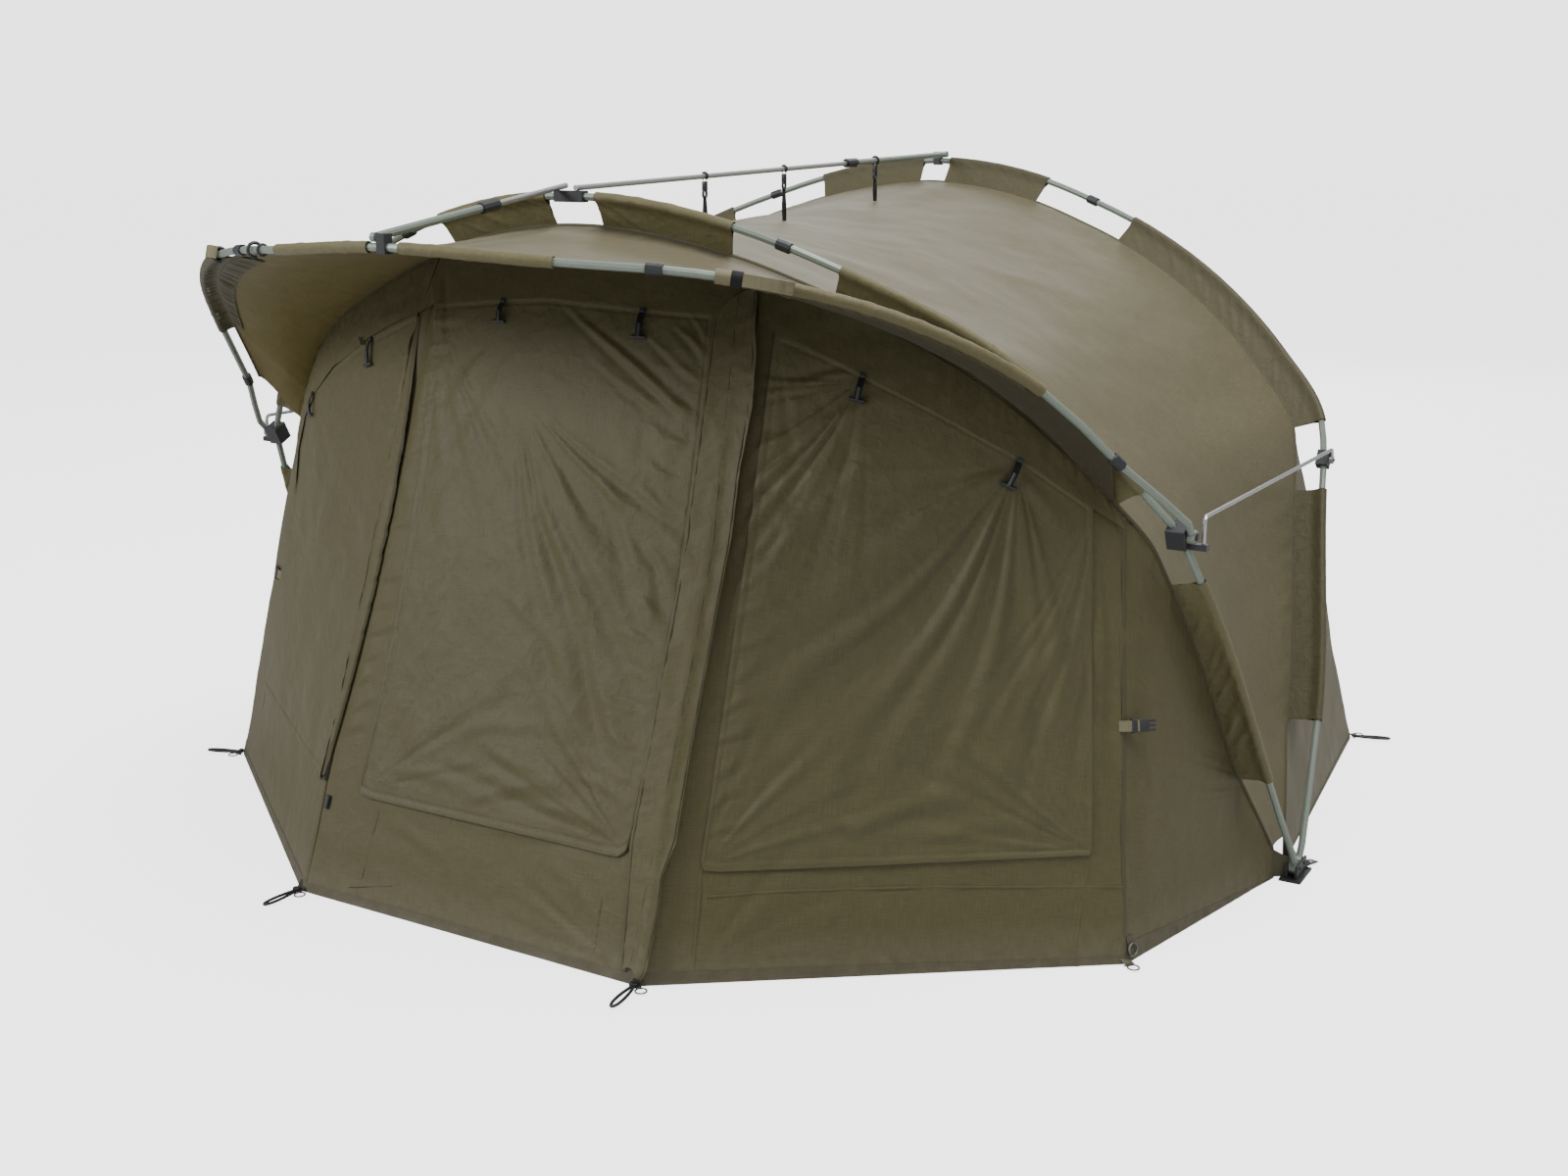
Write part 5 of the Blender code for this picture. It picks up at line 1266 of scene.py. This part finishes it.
def sleeveBand(name, table, start, end, body, look, gathered=False):
    # from the seam, round the tube and back to the seam
    numbers = evenNumbers(table, start, end, sleeveSet["pitch"])
    keys = ("point", "way", "inward", "width", "run")
    point, way, inward, width, run = (readTable(table, key, numbers) for key in keys)
    side = unit(np.cross(way, inward))
    fromEnd = clip01(np.minimum(run - run[0], run[-1] - run) / sleeveSet["end"])
    tube, layer, bend = sleeveSet["tube"], sleeveSet["layer"], sleeveSet["bend"]
    high = sleeveSet["gather"] if gathered else sleeveSet["crease"][name.split("_")[0]]
    rows = []
    for k in range(sleeveSet["round"] + 1):
        t = 2 * k / sleeveSet["round"] - 1   # -1 at one layer's seam, 1 at the other's
        web = max(0.0, (abs(t) - bend) / (1 - bend))
        if web:
            n = (width - sleeveSet["seamGap"]) * web
            b = layer + (tube - layer) * (1 - clip01(n / sleeveSet["neck"])) ** 1.3
        else:
            angle = math.pi / 2 * (2 - abs(t) / bend)
            n, b = tube * math.cos(angle) + 0 * width, tube * math.sin(angle) + 0 * width
        long, steep = sleeveSet["ridge"]
        places = zip((run + sleeveSet["slant"] * n) / long, n * steep)
        ridge = np.array([noise.noise(Vector((r, 2.0 + len(name), d))) for r, d in places])
        if gathered:
            long, steep = sleeveSet["gatherRidge"]
            places = zip(run / long, n * steep)
            ridge = ridge * 0.5 + np.array([noise.noise(Vector((r, 6.0, d))) for r, d in places])
        swell = high * np.clip(ridge, -sleeveSet["dip"], 1) * clip01((width - n) / sleeveSet["seamFade"])
        swell = swell * (0.35 + 0.65 * min(1, web * 4)) * (0.4 + 0.6 * fromEnd)
        out = np.maximum(swell, -sleeveSet["inside"] * (b > 0.003))
        rows.append(point + inward * n[:, None] + side * (math.copysign(1, -t) * (b + out))[:, None])
        if not web and abs(t) < 0.2:
            rows[-1] = point + (rows[-1] - point) * (1 + 0.25 * clip01(swell / tube))[:, None]
    piece = gridPiece(name, np.array(rows), [look], sleeveSet["thick"], tuple(point.mean(0)))
    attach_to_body(piece, body)
    return piece


ribBands = ((2, 3), (5, 8), (11, 12), (14, 15), (18, 21), (23, 24))   # between the bare stretches of a tube
peakBands = ((2, 4), (7, 8), (10, 11), (14, 16))
for rib, table, bands in (("front", front, ribBands), ("rear", rear, ribBands), ("peak", peak, peakBands)):
    for number, (start, end) in enumerate(bands):
        # the gathered end of the peak sleeve is in the darker seam tape cloth: painted shade
        gathered = rib == "peak" and start == 14
        look = seamTape if gathered else rearSleeveCloth if rib == "rear" else frontSleeveCloth
        piece = sleeveBand(f"{rib}_sleeve_{number + 1}", table, start, end, rib + "_rib", look, gathered)
        if number == 0:
            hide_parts(f"{rib}_sleeve")
print("bivvy: sleeves ready")


def peakNumber(px):
    # the place number where the peak tube crosses a column of the photograph
    columns = inPhoto(peak["point"])[0]
    order = np.argsort(columns)
    return float(np.interp(px, columns[order], peak["number"][order]))


def peakFrame(number):
    # the peak tube's middle there, with its directions
    at, way = Vector(readTable(peak, "point", number)), Vector(readTable(peak, "way", number)).normalized()
    inward = Vector(readTable(peak, "inward", number)).normalized()
    return at, way, inward, way.cross(inward).normalized()


strapSet = {
    "cuff": (730, 746, 0.0150), "patch": (746, 758, 0.0162), "tail": (758, 806), "wide": 0.026,
    "lift": 0.0170, "bow": 0.004, "thick": 0.0016, "wrap": 0.0012, "tip": ((0.010, -0.006), (0.012, 0.010)),
}
for name, look in (("cuff", oliveWebbing), ("patch", blackWebbing)):   # wrapped round the peak tube
    start, end, radius = strapSet[name]
    numbers = np.linspace(peakNumber(start), peakNumber(end), 10)
    frames = [peakFrame(number) for number in numbers]
    rows = [
        [at + (inward * math.cos(turn) + side * math.sin(turn)) * radius for at, _, inward, side in frames]
        for turn in np.linspace(0, 2 * math.pi, 21)
    ]
    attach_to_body(gridPiece("strap_" + name, np.array(rows), [look], strapSet["wrap"], None), "peak_rib")
path, sides = [], []
for k, px in enumerate(np.linspace(*strapSet["tail"], 9)):
    at, way, inward, side = peakFrame(peakNumber(px))
    out = (cameraPlace - at).normalized()
    out = (out - way * out.dot(way)).normalized()
    path.append(at + out * (strapSet["lift"] + strapSet["bow"] * math.sin(math.pi * k / 8)))
    sides.append(way.cross(out))
path += placesFrom(path[-1], (out, way), strapSet["tip"])
sides += [sides[-1]] * 2
ribbon("strap_tail", path, sides, strapSet["wide"], oliveWebbing, "peak_rib", strapSet["thick"])

endSet = {
    "clips": (250.5, 260.0), "clip": (0.0165, 0.0042), "ringAt": 268, "ring": (0.0125, 0.0030), "tabAt": 244,
    "tab": 0.030, "tabPath": ((0.012, -0.010), (0.030, -0.004), (0.032, 0.014), (0.013, 0.018)),
}
for number, px in enumerate(endSet["clips"]):
    at, way, inward, side = peakFrame(peakNumber(px))
    shape = bmesh.new()
    radius, wire = endSet["clip"]
    sweep(shape, arc(at, inward, side, radius, 16, 0.35 * math.pi, 1.95 * math.pi), wire, up=way)
    finishPart(f"end_clip_{number + 1}", shape, blackMoulding, "peak_rib")
at, way, inward, side = peakFrame(peakNumber(endSet["tabAt"]))
path = placesFrom(at, (-inward, way), endSet["tabPath"])
ribbon("end_tab", path, side, endSet["tab"], oliveWebbing, "peak_rib", strapSet["thick"])
shape = bmesh.new()
at, way, inward, side = peakFrame(peakNumber(endSet["ringAt"]))
sweep(shape, arc(at, inward, side, endSet["ring"][0]), endSet["ring"][1], up=way, closed=True)
finishPart("end_ring", shape, blackMoulding, "peak_rib")

hookSet = {
    "pixels": (719, 800, 893), "wire": 0.0036, "clipWire": 0.0030, "innerFrom": 838, "inner": 0.0092, "outer": 0.0122,
    "innerEnd": 760, "body": (0.010, 0.014, 0.024), "bodyDrop": 0.025, "hookDrop": 0.034, "bend": (0.008, 0.011),
    "longDrop": 0.062, "loop": 0.010, "loopDrop": 0.056, "loopWide": 0.004,
}
# the rear roof bar's axis
barStart, barEnd = Vector((0.026, 1.1445, 1.7659)), Vector((0.026, -0.8468, 1.7123))
roofGrid = spannedPoints(frontSeam, rearSeam, np.linspace(0, 1, 41), roofSet["sag"], roomMiddle, roofSet["spread"])
roofSearch = surfaceTree([roofGrid])[0]
shares = np.linspace(0, 1, 60)
barPixels = inPhoto(np.array([tuple(barStart.lerp(barEnd, t)) for t in shares]))[0]
way, side = (barEnd - barStart).normalized(), Vector((1, 0, 0))
for number, px in enumerate(hookSet["pixels"]):
    at = barStart.lerp(barEnd, float(np.interp(-px, -barPixels, shares)))
    below = roofSearch.ray_cast(at - upward * 0.01, -upward)[0]
    if below is None:
        continue
    shape = bmesh.new()
    radius = hookSet["inner"] if px < hookSet["innerFrom"] else hookSet["outer"]
    clip = arc(at, side, upward, radius, 16, -0.35 * math.pi, 1.35 * math.pi)
    sweep(shape, clip, hookSet["clipWire"], up=way)
    block(shape, hookSet["body"], placeOf(at - upward * hookSet["bodyDrop"], side, way, upward))
    along, down = hookSet["bend"]
    hook = [
        at - upward * hookSet["hookDrop"] + way * (along * math.sin(t)) - upward * (down * (1 - math.cos(t)))
        for t in np.linspace(0, 1.8 * math.pi, 14)
    ]
    sweep(shape, hook, hookSet["wire"], up=side)
    body = "rear_bar_inner" if px < hookSet["innerEnd"] else "rear_bar"
    finishPart(f"roof_hook_{number + 1}", shape, blackMoulding, body)
    if at.z - below.z > hookSet["longDrop"]:
        top, foot = at - upward * hookSet["loopDrop"], below + upward * 0.001
        middle, aside = below.lerp(top, 0.5), way * hookSet["loopWide"]
        path = [foot, middle + aside, top, middle - aside, foot - aside]
        ribbon(f"roof_loop_{number + 1}", path, side, hookSet["loop"], blackWebbing, "base")
print("bivvy: strap, clips and hooks ready")

studio = {
    "floor": 60, "paper": 0.60, "paperGlow": 2.55, "backdrop": 2.86, "room": 0.46,
    "lamps": (
        ("key", (-3.8, -6.4, 4.4), 350, 2.4), ("top", (2.4, -0.6, 7.5), 560, 4.5),
        ("behind", (-2.6, 8.5, 5.0), 380, 6.0), ("side", (6.5, -2.5, 2.6), 16, 3.0),
    ),
}
shape = bmesh.new()
bmesh.ops.create_grid(shape, x_segments=1, y_segments=1, size=studio["floor"])
floorLook, tree, shader = freshMaterial("floorPaper")
seen = addNode(tree, "LightPath").outputs["Is Camera Ray"]
for label, value in (
    ("Base Color", (studio["paper"],) * 3 + (1,)), ("Roughness", 1.0), ("Specular IOR Level", 0.0),
    ("Emission Color", (1, 1, 1, 1)), ("Emission Strength", times(tree, seen, studio["paperGlow"])),
):
    feed(tree, shader[label], value)
floor = addPiece("floor", shape, [floorLook])
world = bpy.data.worlds.new("studio")
scene.world = world
world.use_nodes = True
tree = world.node_tree
seen = addNode(tree, "LightPath").outputs["Is Camera Ray"]
glow = plus(tree, times(tree, seen, studio["backdrop"] - studio["room"]), studio["room"])
background = tree.nodes["Background"].inputs
feed(tree, background["Color"], (1, 1, 1, 1))
feed(tree, background["Strength"], glow)
for name, place, power, size in studio["lamps"]:
    lamp = bpy.data.lights.new(name, "AREA")
    lamp.energy, lamp.size = power, size
    thing = bpy.data.objects.new(name, lamp)
    thing.location = place
    thing.rotation_euler = (Vector((0, 0, 0.8)) - Vector(place)).to_track_quat("-Z", "Y").to_euler()
    scene.collection.objects.link(thing)
print("bivvy: studio ready")
